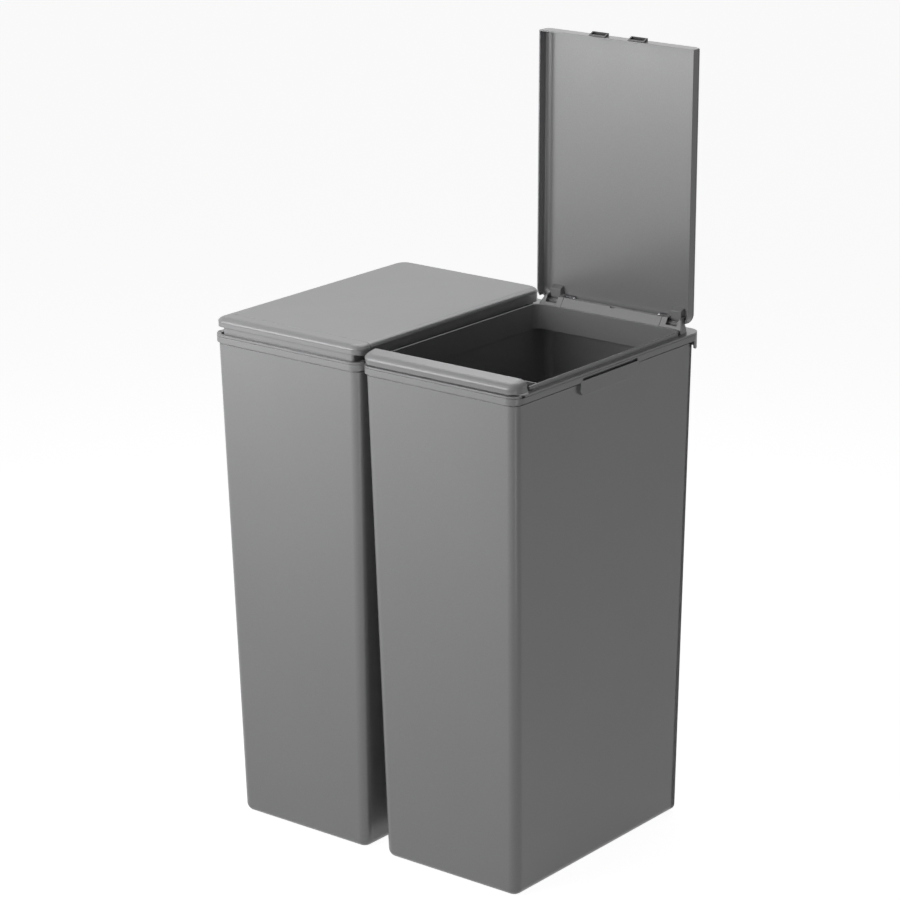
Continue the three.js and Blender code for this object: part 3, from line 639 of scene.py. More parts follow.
block_inner = notch_inner - BLOCK_SOLID
block_top = flange_top + BLOCK_HEIGHT


def block_section(inward=0.0, foot=None):
    foot = flange_top - BLOCK_SINK if foot is None else foot
    lean = inward * COVER_LEAN
    return [
        (REAR - BLOCK_FRONT + inward, foot),
        (REAR - BLOCK_REAR - inward, foot),
        (REAR - BLOCK_REAR - inward, block_top - inward),
        (REAR - BLOCK_CREST + lean, block_top - inward),
        (REAR - BLOCK_FRONT + inward, flange_top + BLOCK_STEP - lean),
    ]


def ear_section():
    crest = REAR - BLOCK_CREST
    root = [(crest, block_top), (crest, block_top - HORN_ROOT)]
    return root + arc(hinge.y, hinge.z, HORN_RADIUS, -90, HORN_SWEEP, EAR_STEPS)


def sill_section():
    front = REAR - BLOCK_FRONT
    rise = (block_top - flange_top - BLOCK_STEP) / (BLOCK_FRONT - BLOCK_CREST)
    shoulder = (SILL_HEIGHT - BLOCK_STEP) / rise
    return [
        (front, flange_top - BLOCK_SINK),
        (front + SILL_WALL, flange_top - BLOCK_SINK),
        (front + SILL_WALL, flange_top + BLOCK_STEP + min(shoulder, SILL_WALL) * rise),
        (front, flange_top + BLOCK_STEP),
    ]


# %% Build the hinge block
def cheek_reach(z):
    """How far out the block's end is at a height, between a broad foot and a slim top."""
    share = max(z - flange_top, 0) / BLOCK_HEIGHT
    return block_half - BLOCK_LEAN * share + BLOCK_SWELL * math.sin(math.pi * share)


def add_cheek(bm):
    """The block beyond a notch, built up in layers so that its end can swell."""
    front, rear = REAR - BLOCK_FRONT, REAR - BLOCK_REAR
    rise = (BLOCK_HEIGHT - BLOCK_STEP) / (BLOCK_FRONT - BLOCK_CREST)
    rings = []
    for i in range(CHEEK_LAYERS + 1):
        z = flange_top - BLOCK_SINK + (BLOCK_HEIGHT + BLOCK_SINK) * i / CHEEK_LAYERS
        edge = front + max(z - flange_top - BLOCK_STEP, 0) / rise
        reach = cheek_reach(z)
        spots = [(notch_outer, edge), (reach - CHEEK_CHAMFER, edge), (reach, edge + CHEEK_CHAMFER)]
        spots += [(reach, rear), (notch_outer, rear)]
        rings.append([bm.verts.new((x, y, z)) for x, y in spots])
    for low, high in zip(rings, rings[1:]):
        for i in range(len(low)):
            j = (i + 1) % len(low)
            bm.faces.new((low[i], low[j], high[j], high[i]))
    bm.faces.new(rings[0][::-1])
    bm.faces.new(rings[-1])


def add_block_end(bm):
    prism(bm, block_section(), block_inner, notch_inner, "x")
    prism(bm, ear_section(), notch_inner - HORN_WALL, notch_inner, "x")
    prism(bm, sill_section(), notch_inner - PAST, notch_outer + PAST, "x")
    behind = (REAR - BLOCK_REAR - BACK_WALL, REAR - BLOCK_REAR)
    across = (notch_inner - PAST, notch_outer + PAST)
    block(bm, across, behind, (flange_top - BLOCK_SINK, flange_top + BACK_HEIGHT))
    add_cheek(bm)
    prism(bm, ear_section(), notch_outer, notch_outer + OUTER_HORN, "x")


# %% Ears for the bar's pins
ARM_WALL = 3.4
SIDE_PLAY = 0.5
EAR_WALL = 2.4
EAR_RADIUS = 3.6
NECK_INSET = 11
PIVOT_INSET = 10.3
neck_half = lid_high.x - BIN_X["left"] - NECK_INSET
arm_middle = neck_half - PIVOT_INSET


def add_pivot_ears(bm):
    wall = FRONT + BAY_REAR + BAY_WALL / 2
    section = arc(pivot.y, pivot.z, EAR_RADIUS, 90, 180, EAR_STEPS)
    section += [(wall, pivot.z - EAR_RADIUS), (wall, pivot.z + EAR_RADIUS)]
    inner = arm_middle - ARM_WALL / 2 - SIDE_PLAY
    outer = arm_middle + ARM_WALL / 2 + SIDE_PLAY
    prism(bm, section, inner - EAR_WALL, inner, "x")
    prism(bm, section, outer, outer + EAR_WALL, "x")


# %% Make both collars
def make_collar(side):
    bm = bmesh.new()
    add_collar_ring(bm)
    add_bay_wall(bm)
    both(bm, lambda: add_block_end(bm))
    both(bm, lambda: add_pivot_ears(bm))
    collar = to_object(bm, f"{side}_collar_frame", side)
    return finish_piece(collar, "bins", "collar_plastic", [f"{side}_collar"], MOULDED_EDGE)


collars = [make_collar(side) for side in SIDES]

# %% [markdown]
# ## The hinge cover
# The middle of the ridge is a loose cap, just in front of the springs. It is a folded
# section pulled along the bin, with a nick in its top edge for a screwdriver. It is drawn
# as one outline that goes out along the outside and back along the inside.

# %% Make both hinge covers
COVER_WALL = 1.8
COVER_NOTCH = 6
COVER_GAP = 0.3
cover_half = block_inner - COVER_GAP


def cover_section():
    foot = flange_top + COVER_GAP
    outer = block_section(0, foot)
    inner = block_section(COVER_WALL, foot)
    return outer[1:] + [outer[0]] + [inner[0]] + inner[:0:-1]


def notch_cutter(side):
    bm = bmesh.new()
    run = (REAR - BLOCK_CREST - PAST, REAR - BLOCK_REAR - COVER_WALL)
    span = (-COVER_NOTCH / 2, COVER_NOTCH / 2)
    block(bm, span, run, (block_top - COVER_WALL - PAST, block_top + 2 * PAST))
    return to_object(bm, "notch_cutter", side)


def make_cover(side):
    bm = bmesh.new()
    prism(bm, cover_section(), -cover_half, cover_half, "x")
    cover = to_object(bm, f"{side}_hinge_cap", side)
    carve(cover, [notch_cutter(side)])
    node = f"{side}_hinge_cover"
    return finish_piece(cover, "bins", "collar_plastic", [node], MOULDED_EDGE)


covers = [make_cover(side) for side in SIDES]

# %% [markdown]
# ## The lid
# A shallow tray upside down. Its top edge rolls over softly at the two sides and a little
# at the rear, and ends in a fine step, below which the skirt is set back; that step is the
# thin dark line round the real lid. Its front edge is plain, because the bar closes
# against it. The rear wall is cut short between the corners to clear the hinge block. The
# two knuckles that turn on the pins reach up into the tray's top, as a piece of their own.

# %% Sizes of the lid
LID_WALL = 1.8
LID_CORNER = 14
SQUARE_CORNER = 1.2
EDGE_DROP = 5.7
EDGE_RUN = 9.5
LID_REAR_RUN = 5
SKIRT_STEP = 0.4
LID_REAR_SKIRT = 9.3
LID_REAR_GAP = 1.2
EDGE_STEPS = 9
lid_top = lid_high.z
lid_half = (lid_high.x - lid_low.x) / 2
lid_shape = outline(lid_half, lid_low.y, lid_high.y, SQUARE_CORNER, LID_CORNER)
rear_opening = block_half + LID_REAR_GAP
print(f"lid {2 * lid_half:.0f} x {lid_high.y - lid_low.y:.1f}, top at {lid_top:.1f}")


def soft_edge(shape, foot, top, wall, runs, steps):
    """Levels of a tray's outside, or of its hollow when wall isn't 0, upwards."""
    drop = EDGE_DROP - wall
    side, front, rear = [s + wall for s in steps]
    levels = [
        (shrink(shape, side, front, rear), foot),
        (shrink(shape, side, front, rear), top - drop),
    ]
    for i in range(EDGE_STEPS + 1):
        angle = math.radians(90 * i / EDGE_STEPS)
        share = 1 - math.cos(angle)
        ins = [wall + max(run - wall, 0) * share for run in runs]
        levels.append((shrink(shape, *ins), top - drop + drop * math.sin(angle)))
    return levels


# %% Build the lid's tray
OPEN_TURN = {"left": 0, "right": -90}


def lid_turn(side):
    return turned(hinge, OPEN_TURN[side])


def add_tray(bm):
    runs = (EDGE_RUN, 0, LID_REAR_RUN)
    steps = (SKIRT_STEP, 0, SKIRT_STEP)
    outside = soft_edge(lid_shape, lid_low.z, lid_top, 0, runs, steps)
    hollow = soft_edge(lid_shape, lid_low.z, lid_top - LID_WALL, LID_WALL, runs, steps)
    loft(bm, hollow[::-1] + outside)


def rear_cutter(side):
    bm = bmesh.new()
    run = (lid_high.y - LID_CORNER, lid_high.y + PAST)
    heights = (lid_low.z - PAST, lid_top - LID_REAR_SKIRT)
    block(bm, (-rear_opening, rear_opening), run, heights)
    return to_object(bm, "rear_cutter", side, lid_turn(side))


# %% Knuckles that turn on the pins
KNUCKLE_RADIUS = 3.8
KNUCKLE_ARM = 9
KNUCKLE_ROOT = 13
KNUCKLE_STEPS = 12


def add_knuckle(bm):
    plate = lid_top - LID_WALL / 2
    section = arc(hinge.y, hinge.z, KNUCKLE_RADIUS, -90, 90, KNUCKLE_STEPS)
    section += [(hinge.y + KNUCKLE_RADIUS, plate), (hinge.y - KNUCKLE_ROOT, plate)]
    section += [(hinge.y - KNUCKLE_ARM, hinge.z - KNUCKLE_RADIUS)]
    prism(bm, section, notch_inner + SIDE_PLAY, notch_outer - SIDE_PLAY, "x")


# %% Make both lids
def make_lid(side):
    bm = bmesh.new()
    add_tray(bm)
    lid = to_object(bm, f"{side}_lid_tray", side, lid_turn(side))
    carve(lid, [rear_cutter(side)])
    finish_piece(lid, f"{side}_lid", "lid_plastic", [f"{side}_lid"], MOULDED_EDGE)
    knuckle_bm = bmesh.new()
    both(knuckle_bm, lambda: add_knuckle(knuckle_bm))
    knuckles = to_object(knuckle_bm, f"{side}_lid_knuckles", side, lid_turn(side))
    soften(knuckles, MOULDED_EDGE)
    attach(knuckles, f"{side}_lid")
    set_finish(knuckles, "lid_plastic")
    return lid, knuckles


lids = [make_lid(side) for side in SIDES]

# %% [markdown]
# ## Latch hooks
# Two dark snap hooks sit on the lid's front wall and slip under the bar's rear edge. Each
# is two ramped cheeks under a flat ledge that catches the bar, hollow between, so that it
# can spring. A wedge with a pocket cut in it from below gives that shape in two moves.

# %% Make the hooks
HOOK_OFFSET = 27.5
HOOK_WIDTH = 23
HOOK_REACH = 4.2
HOOK_WALL = 2
HOOK_NOSE_TOP = 6.1
HOOK_NOSE_BOTTOM = 7.3
HOOK_BOTTOM = 15.3
HOOK_SEAT = 0.3
hook_wall = lid_low.y - HOOK_SEAT
hook_nose = lid_low.y - HOOK_REACH


def hook_section():
    return [
        (hook_wall, lid_top - HOOK_BOTTOM),
        (hook_nose, lid_top - HOOK_NOSE_BOTTOM),
        (hook_nose, lid_top - HOOK_NOSE_TOP),
        (hook_wall, lid_top - HOOK_NOSE_TOP),
    ]


def hook_pocket(side, middle):
    bm = bmesh.new()
    span = HOOK_WIDTH / 2 - HOOK_WALL
    heights = (lid_top - HOOK_BOTTOM - PAST, lid_top - HOOK_NOSE_BOTTOM)
    run = (hook_nose - PAST, hook_wall - HOOK_WALL / 2)
    block(bm, (middle - span, middle + span), run, heights)
    return to_object(bm, "pocket_cutter", side, lid_turn(side))


def make_hook(side, label, sign):
    middle = sign * HOOK_OFFSET
    bm = bmesh.new()
    prism(bm, hook_section(), middle - HOOK_WIDTH / 2, middle + HOOK_WIDTH / 2, "x")
    hook = to_object(bm, f"{side}_hook_{label}", side, lid_turn(side))
    carve(hook, [hook_pocket(side, middle)])
    node = f"{side}_latch_hook_{label}"
    return finish_piece(hook, f"{side}_lid", "dark_plastic", [node], SMALL_EDGE)


ENDS = (("a", -1), ("b", 1))
hooks = [make_hook(side, label, sign) for side in SIDES for label, sign in ENDS]

# %% [markdown]
# ## The press bar
# The bar rocks on two pins behind it, hidden under the lid. Its top rolls over at the
# front and the two ends. Below hangs a narrower neck that dips into the collar's bay, so
# that from the side there is daylight under the bar's ends. The lower edge of its skirt
# slopes, and lies level with the collar when the bar is down.

# %% Sizes of the bar
BAR_WALL = 1.8
BAR_CORNER = 14
BAR_SKIRT = 10.8
BAR_TRAVEL = 10
NECK_FRONT = 6.2
NECK_REAR = 24
NECK_WALL = 2
NECK_CORNER = 4
NECK_DROP = 24.3
NECK_TOP = 1.5
SEAM_GAP = 0.6
RIB_PLACES = (-45, 0, 45)
RIB_WALL = 1.6
RIB_DROP = 15
ARM_RADIUS = 3.4
ARM_GAP = 1.2
bar_shape = outline(lid_half, bar_low.y, lid_low.y - SEAM_GAP, BAR_CORNER, SQUARE_CORNER)
bar_slope = math.tan(math.radians(BAR_TRAVEL))
neck_bottom = lid_top - NECK_DROP
DOWN_TURN = {"left": 0, "right": BAR_TRAVEL}


def bar_foot(x, y):
    return lid_top - BAR_SKIRT - (y - bar_low.y) * bar_slope


# %% Build the bar's shell, neck, ribs and arms
def add_bar_shell(bm):
    runs = (EDGE_RUN, EDGE_RUN, 0)
    steps = (SKIRT_STEP, SKIRT_STEP, 0)
    outside = soft_edge(bar_shape, bar_foot, lid_top, 0, runs, steps)
    hollow = soft_edge(bar_shape, bar_foot, lid_top - BAR_WALL, BAR_WALL, runs, steps)
    loft_horseshoes(bm, hollow[::-1] + outside, bar_shape["rear"])


def add_neck(bm):
    front, rear = FRONT + NECK_FRONT, FRONT + NECK_REAR
    outer = arc(-neck_half + NECK_CORNER, front + NECK_CORNER, NECK_CORNER, 180)
    outer += arc(neck_half - NECK_CORNER, front + NECK_CORNER, NECK_CORNER, 270)
    radius = NECK_CORNER - NECK_WALL / 2
    half, wall = neck_half - NECK_WALL, front + NECK_WALL
    inner = arc(-half + radius, wall + radius, radius, 180)
    inner += arc(half - radius, wall + radius, radius, 270)
    path = [(-neck_half, rear)] + outer + [(neck_half, rear)]
    path += [(half, rear)] + inner[::-1] + [(-half, rear)]
    prism(bm, path, neck_bottom, lid_top - NECK_TOP, "z")


def add_ribs(bm):
    for x in RIB_PLACES:
        reach = (x - RIB_WALL / 2, x + RIB_WALL / 2)
        run = (FRONT + NECK_FRONT + PAST, FRONT + NECK_REAR)
        block(bm, reach, run, (lid_top - RIB_DROP, lid_top - NECK_TOP))


def add_arm(bm):
    front = FRONT + NECK_FRONT + PAST
    top = lid_low.z - ARM_GAP
    section = [(front, neck_bottom)]
    section += arc(pivot.y, pivot.z, ARM_RADIUS, -90, 180, EAR_STEPS)
    section += [(FRONT + NECK_REAR, top), (FRONT + NECK_REAR, lid_top - NECK_TOP)]
    section += [(front, lid_top - NECK_TOP)]
    prism(bm, section, arm_middle - ARM_WALL / 2, arm_middle + ARM_WALL / 2, "x")


# %% Make both bars
def make_bar(side):
    turn = turned(pivot, DOWN_TURN[side])
    shell_bm = bmesh.new()
    add_bar_shell(shell_bm)
    bar = to_object(shell_bm, f"{side}_bar_shell", side, turn)
    inner_bm = bmesh.new()
    add_neck(inner_bm)
    add_ribs(inner_bm)
    both(inner_bm, lambda: add_arm(inner_bm))
    neck = to_object(inner_bm, f"{side}_bar_neck", side, turn)
    soften(neck, MOULDED_EDGE)
    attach(neck, f"{side}_bar")
    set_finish(neck, "lid_plastic")
    finish_piece(bar, f"{side}_bar", "lid_plastic", [f"{side}_press_bar"], MOULDED_EDGE)
    return bar, neck


bars = [make_bar(side) for side in SIDES]

# %% [markdown]
# ## Pins
# Cut lengths of ground steel rod with chamfered ends. A rod is a prism along X on a round
# outline, and the bevel makes the chamfer.

# %% Make the pins
HINGE_PIN_RADIUS = 1.5
PIVOT_PIN_RADIUS = 1.5


def make_pin(node, side, axle, radius):
    low, high = box_mm(node)
    bm = bmesh.new()
    ends = (low.x - BIN_X[side], high.x - BIN_X[side])
    prism(bm, disc(axle.y, axle.z, radius), *ends, "x")
    pin = to_object(bm, f"{node}_rod", side)
    return finish_piece(pin, "bins", "steel", [node], PIN_EDGE)


pins = []
for side in SIDES:
    for label, _ in ENDS:
        pins.append(make_pin(f"{side}_hinge_pin_{label}", side, hinge, HINGE_PIN_RADIUS))
        pins.append(make_pin(f"{side}_bar_pin_{label}", side, pivot, PIVOT_PIN_RADIUS))

# %% [markdown]
# ## Hinge springs
# A torsion spring is a helix with two straight tails. A curve with a round bevel makes a
# wire of it with far fewer points than a mesh would need, and it is turned into a mesh
# only so that it can ride and be exported like the rest. Half a turn more than the whole
# ones brings the second tail to the top.

# %% Make the springs
SPRING_WIRE = 1.0
SPRING_RADIUS = 2.25
SPRING_TURNS = 6
SPRING_PITCH = 1.6
SPRING_TAIL = 3
COIL_STEPS = 24
WIRE_RESOLUTION = 3


def spring_path(start, sign):
    steps = int((SPRING_TURNS + 0.5) * COIL_STEPS)
    path = [Vector((start, hinge.y - SPRING_TAIL, hinge.z - SPRING_RADIUS))]
    for i in range(steps + 1):
        angle = 2 * math.pi * i / COIL_STEPS
        along = start + sign * SPRING_PITCH * SPRING_TURNS * i / steps
        y = hinge.y + SPRING_RADIUS * math.sin(angle)
        z = hinge.z - SPRING_RADIUS * math.cos(angle)
        path.append(Vector((along, y, z)))
    end = path[-1].x
    path.append(Vector((end, hinge.y - SPRING_TAIL, hinge.z + SPRING_RADIUS)))
    return path


def make_spring(side, label, sign):
    node = f"{side}_hinge_spring_{label}"
    low, high = box_mm(node)
    edge = low.x if sign > 0 else high.x
    start = edge - BIN_X[side] + sign * SPRING_WIRE / 2
    data = bpy.data.curves.new(f"{node}_wire", "CURVE")
    data.dimensions = "3D"
    data.bevel_depth = SPRING_WIRE / 2 * MM
    data.bevel_resolution = WIRE_RESOLUTION
    data.use_fill_caps = True
    spline = data.splines.new("POLY")
    path = spring_path(start, sign)
    spline.points.add(len(path) - 1)
    for point, place in zip(spline.points, path):
        point.co = (*(place + Vector((BIN_X[side], 0, 0))) * MM, 1)
    wire = bpy.data.objects.new(f"{node}_wire", data)
    bpy.context.collection.objects.link(wire)
    bpy.context.view_layer.update()
    mesh = bpy.data.meshes.new_from_object(wire)
    bpy.data.objects.remove(wire)
    spring = bpy.data.objects.new(f"{node}_wire", mesh)
    bpy.context.collection.objects.link(spring)
    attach(spring, "bins")
    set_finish(spring, "spring_steel")
    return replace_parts(spring, node)


springs = [make_spring(side, label, sign) for side in SIDES for label, sign in ENDS]
print(f"{len(springs)} springs, {len(springs[0].data.polygons)} faces each")

# %% [markdown]
# ## The joining clip
# A channel that drops over the two rims where they face each other, with a leg in either
# socket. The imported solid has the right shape, so it is drawn again at the same size, only
# to get soft edges.

# %% Make the clip
CLIP_WALL = 1.2
clip_low, clip_high = box_mm("joining_clip")


def clip_path():
    outer = clip_high.x
    inner = outer - CLIP_WALL
    foot, web = clip_low.z, clip_high.z
    right = [(outer, foot), (outer, web), (-outer, web), (-outer, foot)]
    left = [(-inner, foot), (-inner, web - CLIP_WALL), (inner, web - CLIP_WALL), (inner, foot)]
    return right + left


def make_clip():
    bm = bmesh.new()
    prism(bm, [(z, x) for x, z in clip_path()], clip_low.y, clip_high.y, "x")
    for vert in bm.verts:
        along, up, across = vert.co
        vert.co = (across, along, up)
    clip = to_object(bm, "clip_channel", "middle")
    return finish_piece(clip, "bins", "dark_plastic", ["joining_clip"], SMALL_EDGE)


clip = make_clip()

# %% [markdown]
# ## The metallic plastic
# The bins are moulded in grey plastic with fine metal flakes in it. Four things tell that
# from paint: the flakes sparkle a little, the tone drifts slowly over a large wall because
# the melt flows unevenly, the polish wanders, and the surface has a faint satin grain. Each
# is one noise at its own scale. They are all measured on the object itself, so they move
# with the piece.

# %% Node helpers
def add_node(tree, kind, **settings):
    node = tree.nodes.new(kind)
    for name, value in settings.items():
        if hasattr(node, name):
            setattr(node, name, value)
        else:
            node.inputs[name.replace("_", " ").title()].default_value = value
    return node


def noise(tree, coordinates, scale, detail=2.0, roughness=0.5):
    node = add_node(tree, "ShaderNodeTexNoise", scale=scale, detail=detail)
    node.inputs["Roughness"].default_value = roughness
    tree.links.new(coordinates, node.inputs["Vector"])
    return node.outputs["Fac"]


def remap(tree, value, low, high):
    node = tree.nodes.new("ShaderNodeMapRange")
    node.inputs["To Min"].default_value = low
    node.inputs["To Max"].default_value = high
    tree.links.new(value, node.inputs["Value"])
    return node.outputs["Result"]


def multiply(tree, first, second):
    node = tree.nodes.new("ShaderNodeMath")
    node.operation = "MULTIPLY"
    tree.links.new(first, node.inputs[0])
    tree.links.new(second, node.inputs[1])
    return node.outputs[0]


def tint(tree, colour, strength):
    """A plain colour, made lighter or darker by a strength about 1."""
    node = tree.nodes.new("ShaderNodeVectorMath")
    node.operation = "SCALE"
    node.inputs[0].default_value = colour
    tree.links.new(strength, node.inputs["Scale"])
    return node.outputs[0]


def bump(tree, height, strength, distance):
    node = add_node(tree, "ShaderNodeBump", strength=strength, distance=distance)
    tree.links.new(height, node.inputs["Height"])
    return node.outputs["Normal"]


def start_material(name, metallic, coat=0.0):
    material = bpy.data.materials.new(name)
    material.use_nodes = True
    tree = material.node_tree
    shader = tree.nodes["Principled BSDF"]
    shader.inputs["Metallic"].default_value = metallic
    shader.inputs["Coat Weight"].default_value = coat
    coordinates = tree.nodes.new("ShaderNodeTexCoord").outputs["Object"]
    return material, tree, shader, coordinates


# %% The flake plastic itself
DRIFT_SCALE = 5.0
DRIFT = 0.05
FLAKE_SCALE = 1500.0
SPARKLE = 0.14
WAVE_SCALE = 22.0
WAVE = 0.04
GRAIN_SCALE = 900.0
GRAIN_STRENGTH = 0.25
GRAIN_DEPTH = 0.0001
FLAKE_GREY = (0.33, 0.33, 0.335)
FLAKE_ROUGHNESS = 0.3
FLAKE_METAL = 0.1


def spread(tree, value, middle, reach):
    return remap(tree, value, middle - reach, middle + reach)


def flake_plastic(name):
    material, tree, shader, coordinates = start_material(name, FLAKE_METAL)
    drift = spread(tree, noise(tree, coordinates, DRIFT_SCALE, 3), 1, DRIFT)
    flakes = spread(tree, noise(tree, coordinates, FLAKE_SCALE, 1), 1, SPARKLE)
    shade = tint(tree, FLAKE_GREY, multiply(tree, drift, flakes))
    tree.links.new(shade, shader.inputs["Base Color"])
    polish = spread(tree, noise(tree, coordinates, WAVE_SCALE, 3), FLAKE_ROUGHNESS, WAVE)
    tree.links.new(polish, shader.inputs["Roughness"])
    grain = noise(tree, coordinates, GRAIN_SCALE, 2)
    tree.links.new(bump(tree, grain, GRAIN_STRENGTH, GRAIN_DEPTH), shader.inputs["Normal"])
    return material


bin_plastic = flake_plastic("metallic_grey_body")
collar_plastic = flake_plastic("metallic_grey_collar")
lid_plastic = flake_plastic("metallic_grey_lid")
print("three batches of the same flake plastic")

# %% [markdown]
# ## Dark plastic and steel
# The hooks and the clip are plain dark plastic, a little mottled and satin. The pins are
# ground round, which leaves fine lines round them; the springs are drawn wire, dull, with
# lines too fine to see, so a broken-up polish is enough. The wire is made much darker than
# bare steel, partly as its own dull finish and partly as painted shade, so that the springs
# read as the dark gap behind the hinge cover.

# %% Make the dark plastic
DARK_GREY = (0.045, 0.045, 0.047)
MOTTLE_SCALE = 60.0
MOTTLE = 0.2
SATIN_SCALE = 90.0
SATIN_ROUGHNESS = (0.42, 0.55)
FINE_GRAIN_SCALE = 1400.0
FINE_GRAIN_STRENGTH = 0.3


def dark_plastic_finish():
    material, tree, shader, coordinates = start_material("dark_satin_plastic", 0.0)
    mottle = spread(tree, noise(tree, coordinates, MOTTLE_SCALE, 3), 1, MOTTLE)
    shade = tint(tree, DARK_GREY, mottle)
    tree.links.new(shade, shader.inputs["Base Color"])
    polish = remap(tree, noise(tree, coordinates, SATIN_SCALE, 2), *SATIN_ROUGHNESS)
    tree.links.new(polish, shader.inputs["Roughness"])
    grain = noise(tree, coordinates, FINE_GRAIN_SCALE, 2)
    rough = bump(tree, grain, FINE_GRAIN_STRENGTH, GRAIN_DEPTH)
    tree.links.new(rough, shader.inputs["Normal"])
    return material


# %% Make the steels
LINE_SCALE = 900.0
LINE_SHADES = (0.9, 1.08)
LINE_POLISH = (-0.06, 0.08)
LINE_STRENGTH = 0.2
LINE_DEPTH = 0.00005


def steel_finish(name, colour, stretch, roughness):
    material, tree, shader, coordinates = start_material(name, 1.0)
    mapping = tree.nodes.new("ShaderNodeMapping")
    mapping.inputs["Scale"].default_value = stretch
    tree.links.new(coordinates, mapping.inputs["Vector"])
    lines = noise(tree, mapping.outputs["Vector"], LINE_SCALE, 3)
    shade = tint(tree, colour, remap(tree, lines, *LINE_SHADES))
    tree.links.new(shade, shader.inputs["Base Color"])
    polish = remap(tree, lines, *[roughness + change for change in LINE_POLISH])
    tree.links.new(polish, shader.inputs["Roughness"])
    tree.links.new(bump(tree, lines, LINE_STRENGTH, LINE_DEPTH), shader.inputs["Normal"])
    return material


dark_plastic = dark_plastic_finish()
ground_steel = steel_finish("ground_steel", (0.56, 0.57, 0.58), (3.0, 0.3, 0.3), 0.24)
# The springs' wire colour is painted dark: partly its own dull finish, partly painted shade for the gap behind the
# hinge cover.
dark_wire_painted_shade = steel_finish("drawn_wire_dark_painted_shade", (0.2, 0.2, 0.21), (1.0, 1.0, 1.0), 0.45)

# %% Give every piece its finish
FINISHES = {
    "bin_plastic": bin_plastic,
    "collar_plastic": collar_plastic,
    "lid_plastic": lid_plastic,
    "dark_plastic": dark_plastic,
    "steel": ground_steel,
    "spring_steel": dark_wire_painted_shade,
}


def paint(piece, material):
    piece.data.materials.clear()
    piece.data.materials.append(material)


node_slots = {s["node"]: s["material_slot"] for s in frame["record"]["subparts"]}
for node_name, solid in frame["nodes"].items():
    paint(solid, FINISHES[node_slots[node_name]])
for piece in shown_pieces():
    if "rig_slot" in piece:
        paint(piece, FINISHES[piece["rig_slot"]])

# %% [markdown]
# ## Floor, backdrop and light
# A pale floor catches the soft shadow under the bins. It and the sky glow nearly white, but
# only for rays that show a background: seen straight, mirrored or through glass. So the
# background is pale without lighting the object. The light itself comes from soft boxes, as
# in a studio: one close to the top of the fronts, so that it falls off towards the floor, a
# large one in front on the left, one high in front, one above and behind for the lids, and
# a slim one that lifts the right bin's front corner a little.

# %% The floor
FLOOR_SIZE = 12.0
FLOOR_GLOW = 0.94
FLOOR_SHADE = (0.4, 0.4, 0.4, 1.0)
FLOOR_ROUGHNESS = 0.9
WHITE = (1.0, 1.0, 1.0, 1.0)


def background_rays(tree):
    """One for each ray that shows a background: seen straight, mirrored or through glass."""
    path = tree.nodes.new("ShaderNodeLightPath")
    shown = path.outputs["Is Camera Ray"]
    for ray in ("Is Glossy Ray", "Is Transmission Ray"):
        larger = tree.nodes.new("ShaderNodeMath")
        larger.operation = "MAXIMUM"
        tree.links.new(shown, larger.inputs[0])
        tree.links.new(path.outputs[ray], larger.inputs[1])
        shown = larger.outputs[0]
    return shown


def add_glow(tree, shader_output, target, strength):
    """Adds plain white light of a strength, which may be a number that varies by ray."""
    glow = tree.nodes.new("ShaderNodeEmission")
    total = tree.nodes.new("ShaderNodeAddShader")
    tree.links.new(strength, glow.inputs["Strength"])
    tree.links.new(shader_output, total.inputs[0])
    tree.links.new(glow.outputs[0], total.inputs[1])
    tree.links.new(total.outputs[0], target)


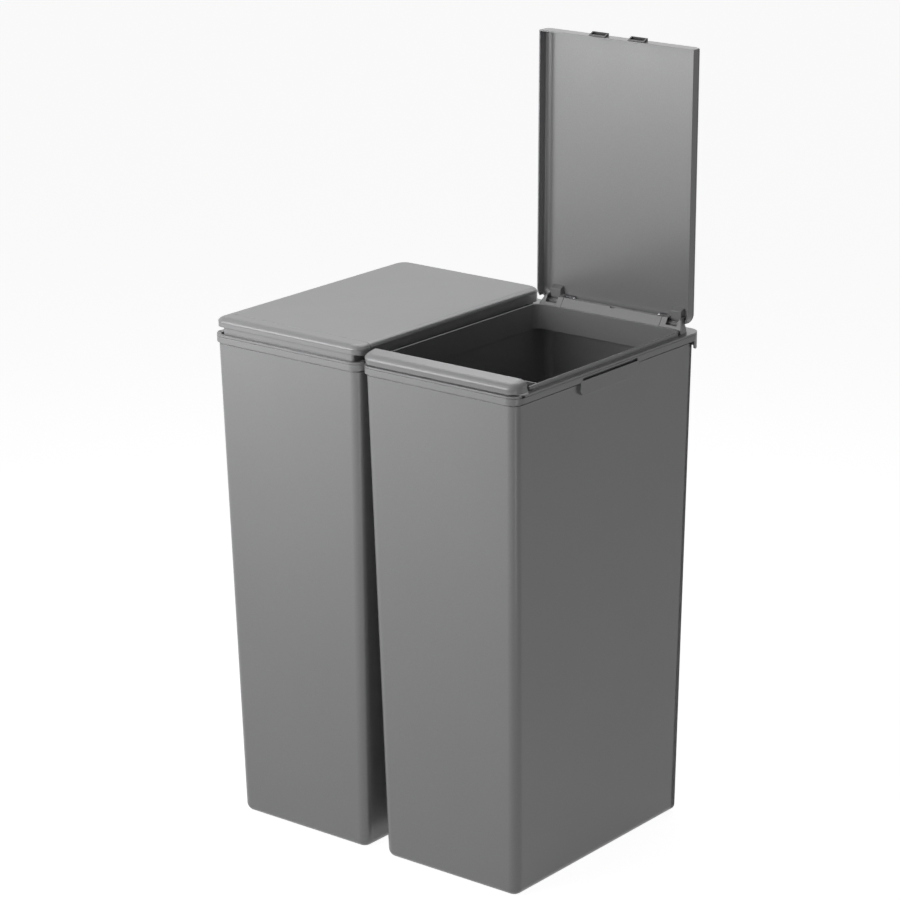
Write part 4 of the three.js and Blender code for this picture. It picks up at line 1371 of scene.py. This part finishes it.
floor_mesh = bpy.data.meshes.new("floor")
half_floor = FLOOR_SIZE / 2
corners = [(-half_floor, -half_floor, 0), (half_floor, -half_floor, 0)]
corners += [(half_floor, half_floor, 0), (-half_floor, half_floor, 0)]
floor_mesh.from_pydata(corners, [], [(0, 1, 2, 3)])
floor = bpy.data.objects.new("floor", floor_mesh)
bpy.context.collection.objects.link(floor)
floor_paint = bpy.data.materials.new("pale_floor")
floor_paint.use_nodes = True
floor_tree = floor_paint.node_tree
floor_shader = floor_tree.nodes["Principled BSDF"]
floor_shader.inputs["Base Color"].default_value = FLOOR_SHADE
floor_shader.inputs["Roughness"].default_value = FLOOR_ROUGHNESS
floor_shader.inputs["Specular IOR Level"].default_value = 0.0
floor_out = floor_tree.nodes["Material Output"].inputs["Surface"]
floor_glow = remap(floor_tree, background_rays(floor_tree), 0.0, FLOOR_GLOW)
add_glow(floor_tree, floor_shader.outputs["BSDF"], floor_out, floor_glow)
floor.data.materials.append(floor_paint)

# %% The sky
SKY_LIGHT = 0.02
world = bpy.data.worlds.new("white_sky")
world.use_nodes = True
bpy.context.scene.world = world
sky_tree = world.node_tree
sky = sky_tree.nodes["Background"]
sky.inputs["Color"].default_value = WHITE
sky_strength = remap(sky_tree, background_rays(sky_tree), SKY_LIGHT, 1.0)
sky_tree.links.new(sky_strength, sky.inputs["Strength"])


# %% The soft boxes
SOFT_BOXES = {
    "near_box": {
        "place": (-0.25, -0.72, 0.82),
        "aim": (0, -0.18, 0.5),
        "size": (0.8, 0.3),
        "radiance": 4.3,
    },
    "front_box": {
        "place": (-0.85, -1.4, 0.5),
        "aim": (0, -0.1, 0.35),
        "size": (1.2, 0.8),
        "radiance": 1.0,
    },
    "high_box": {
        "place": (-0.6, -0.9, 1.8),
        "aim": (0, -0.1, 0.6),
        "size": (0.9, 0.9),
        "radiance": 0.9,
    },
    "rear_box": {
        "place": (-0.3, 0.8, 1.7),
        "aim": (0, 0, 0.6),
        "size": (1.2, 1.0),
        "radiance": 1.7,
    },
    "edge_strip": {
        "place": (0.95, -0.52, 0.35),
        "aim": (0.2, -0.18, 0.35),
        "size": (0.1, 0.7),
        "radiance": 2.6,
    },
}


def add_softbox(name, place, aim, size, radiance):
    data = bpy.data.lights.new(name, "AREA")
    data.shape = "RECTANGLE"
    data.size, data.size_y = size
    data.energy = radiance * math.pi * size[0] * size[1]
    lamp = bpy.data.objects.new(name, data)
    lamp.location = place
    direction = Vector(aim) - Vector(place)
    lamp.rotation_euler = direction.to_track_quat("-Z", "Y").to_euler()
    lamp.visible_camera = False
    bpy.context.collection.objects.link(lamp)
    return lamp


for name, box in SOFT_BOXES.items():
    add_softbox(name, **box)
bpy.context.scene.view_settings.view_transform = "Standard"
print(f"{len(SOFT_BOXES)} soft boxes and a faint sky")
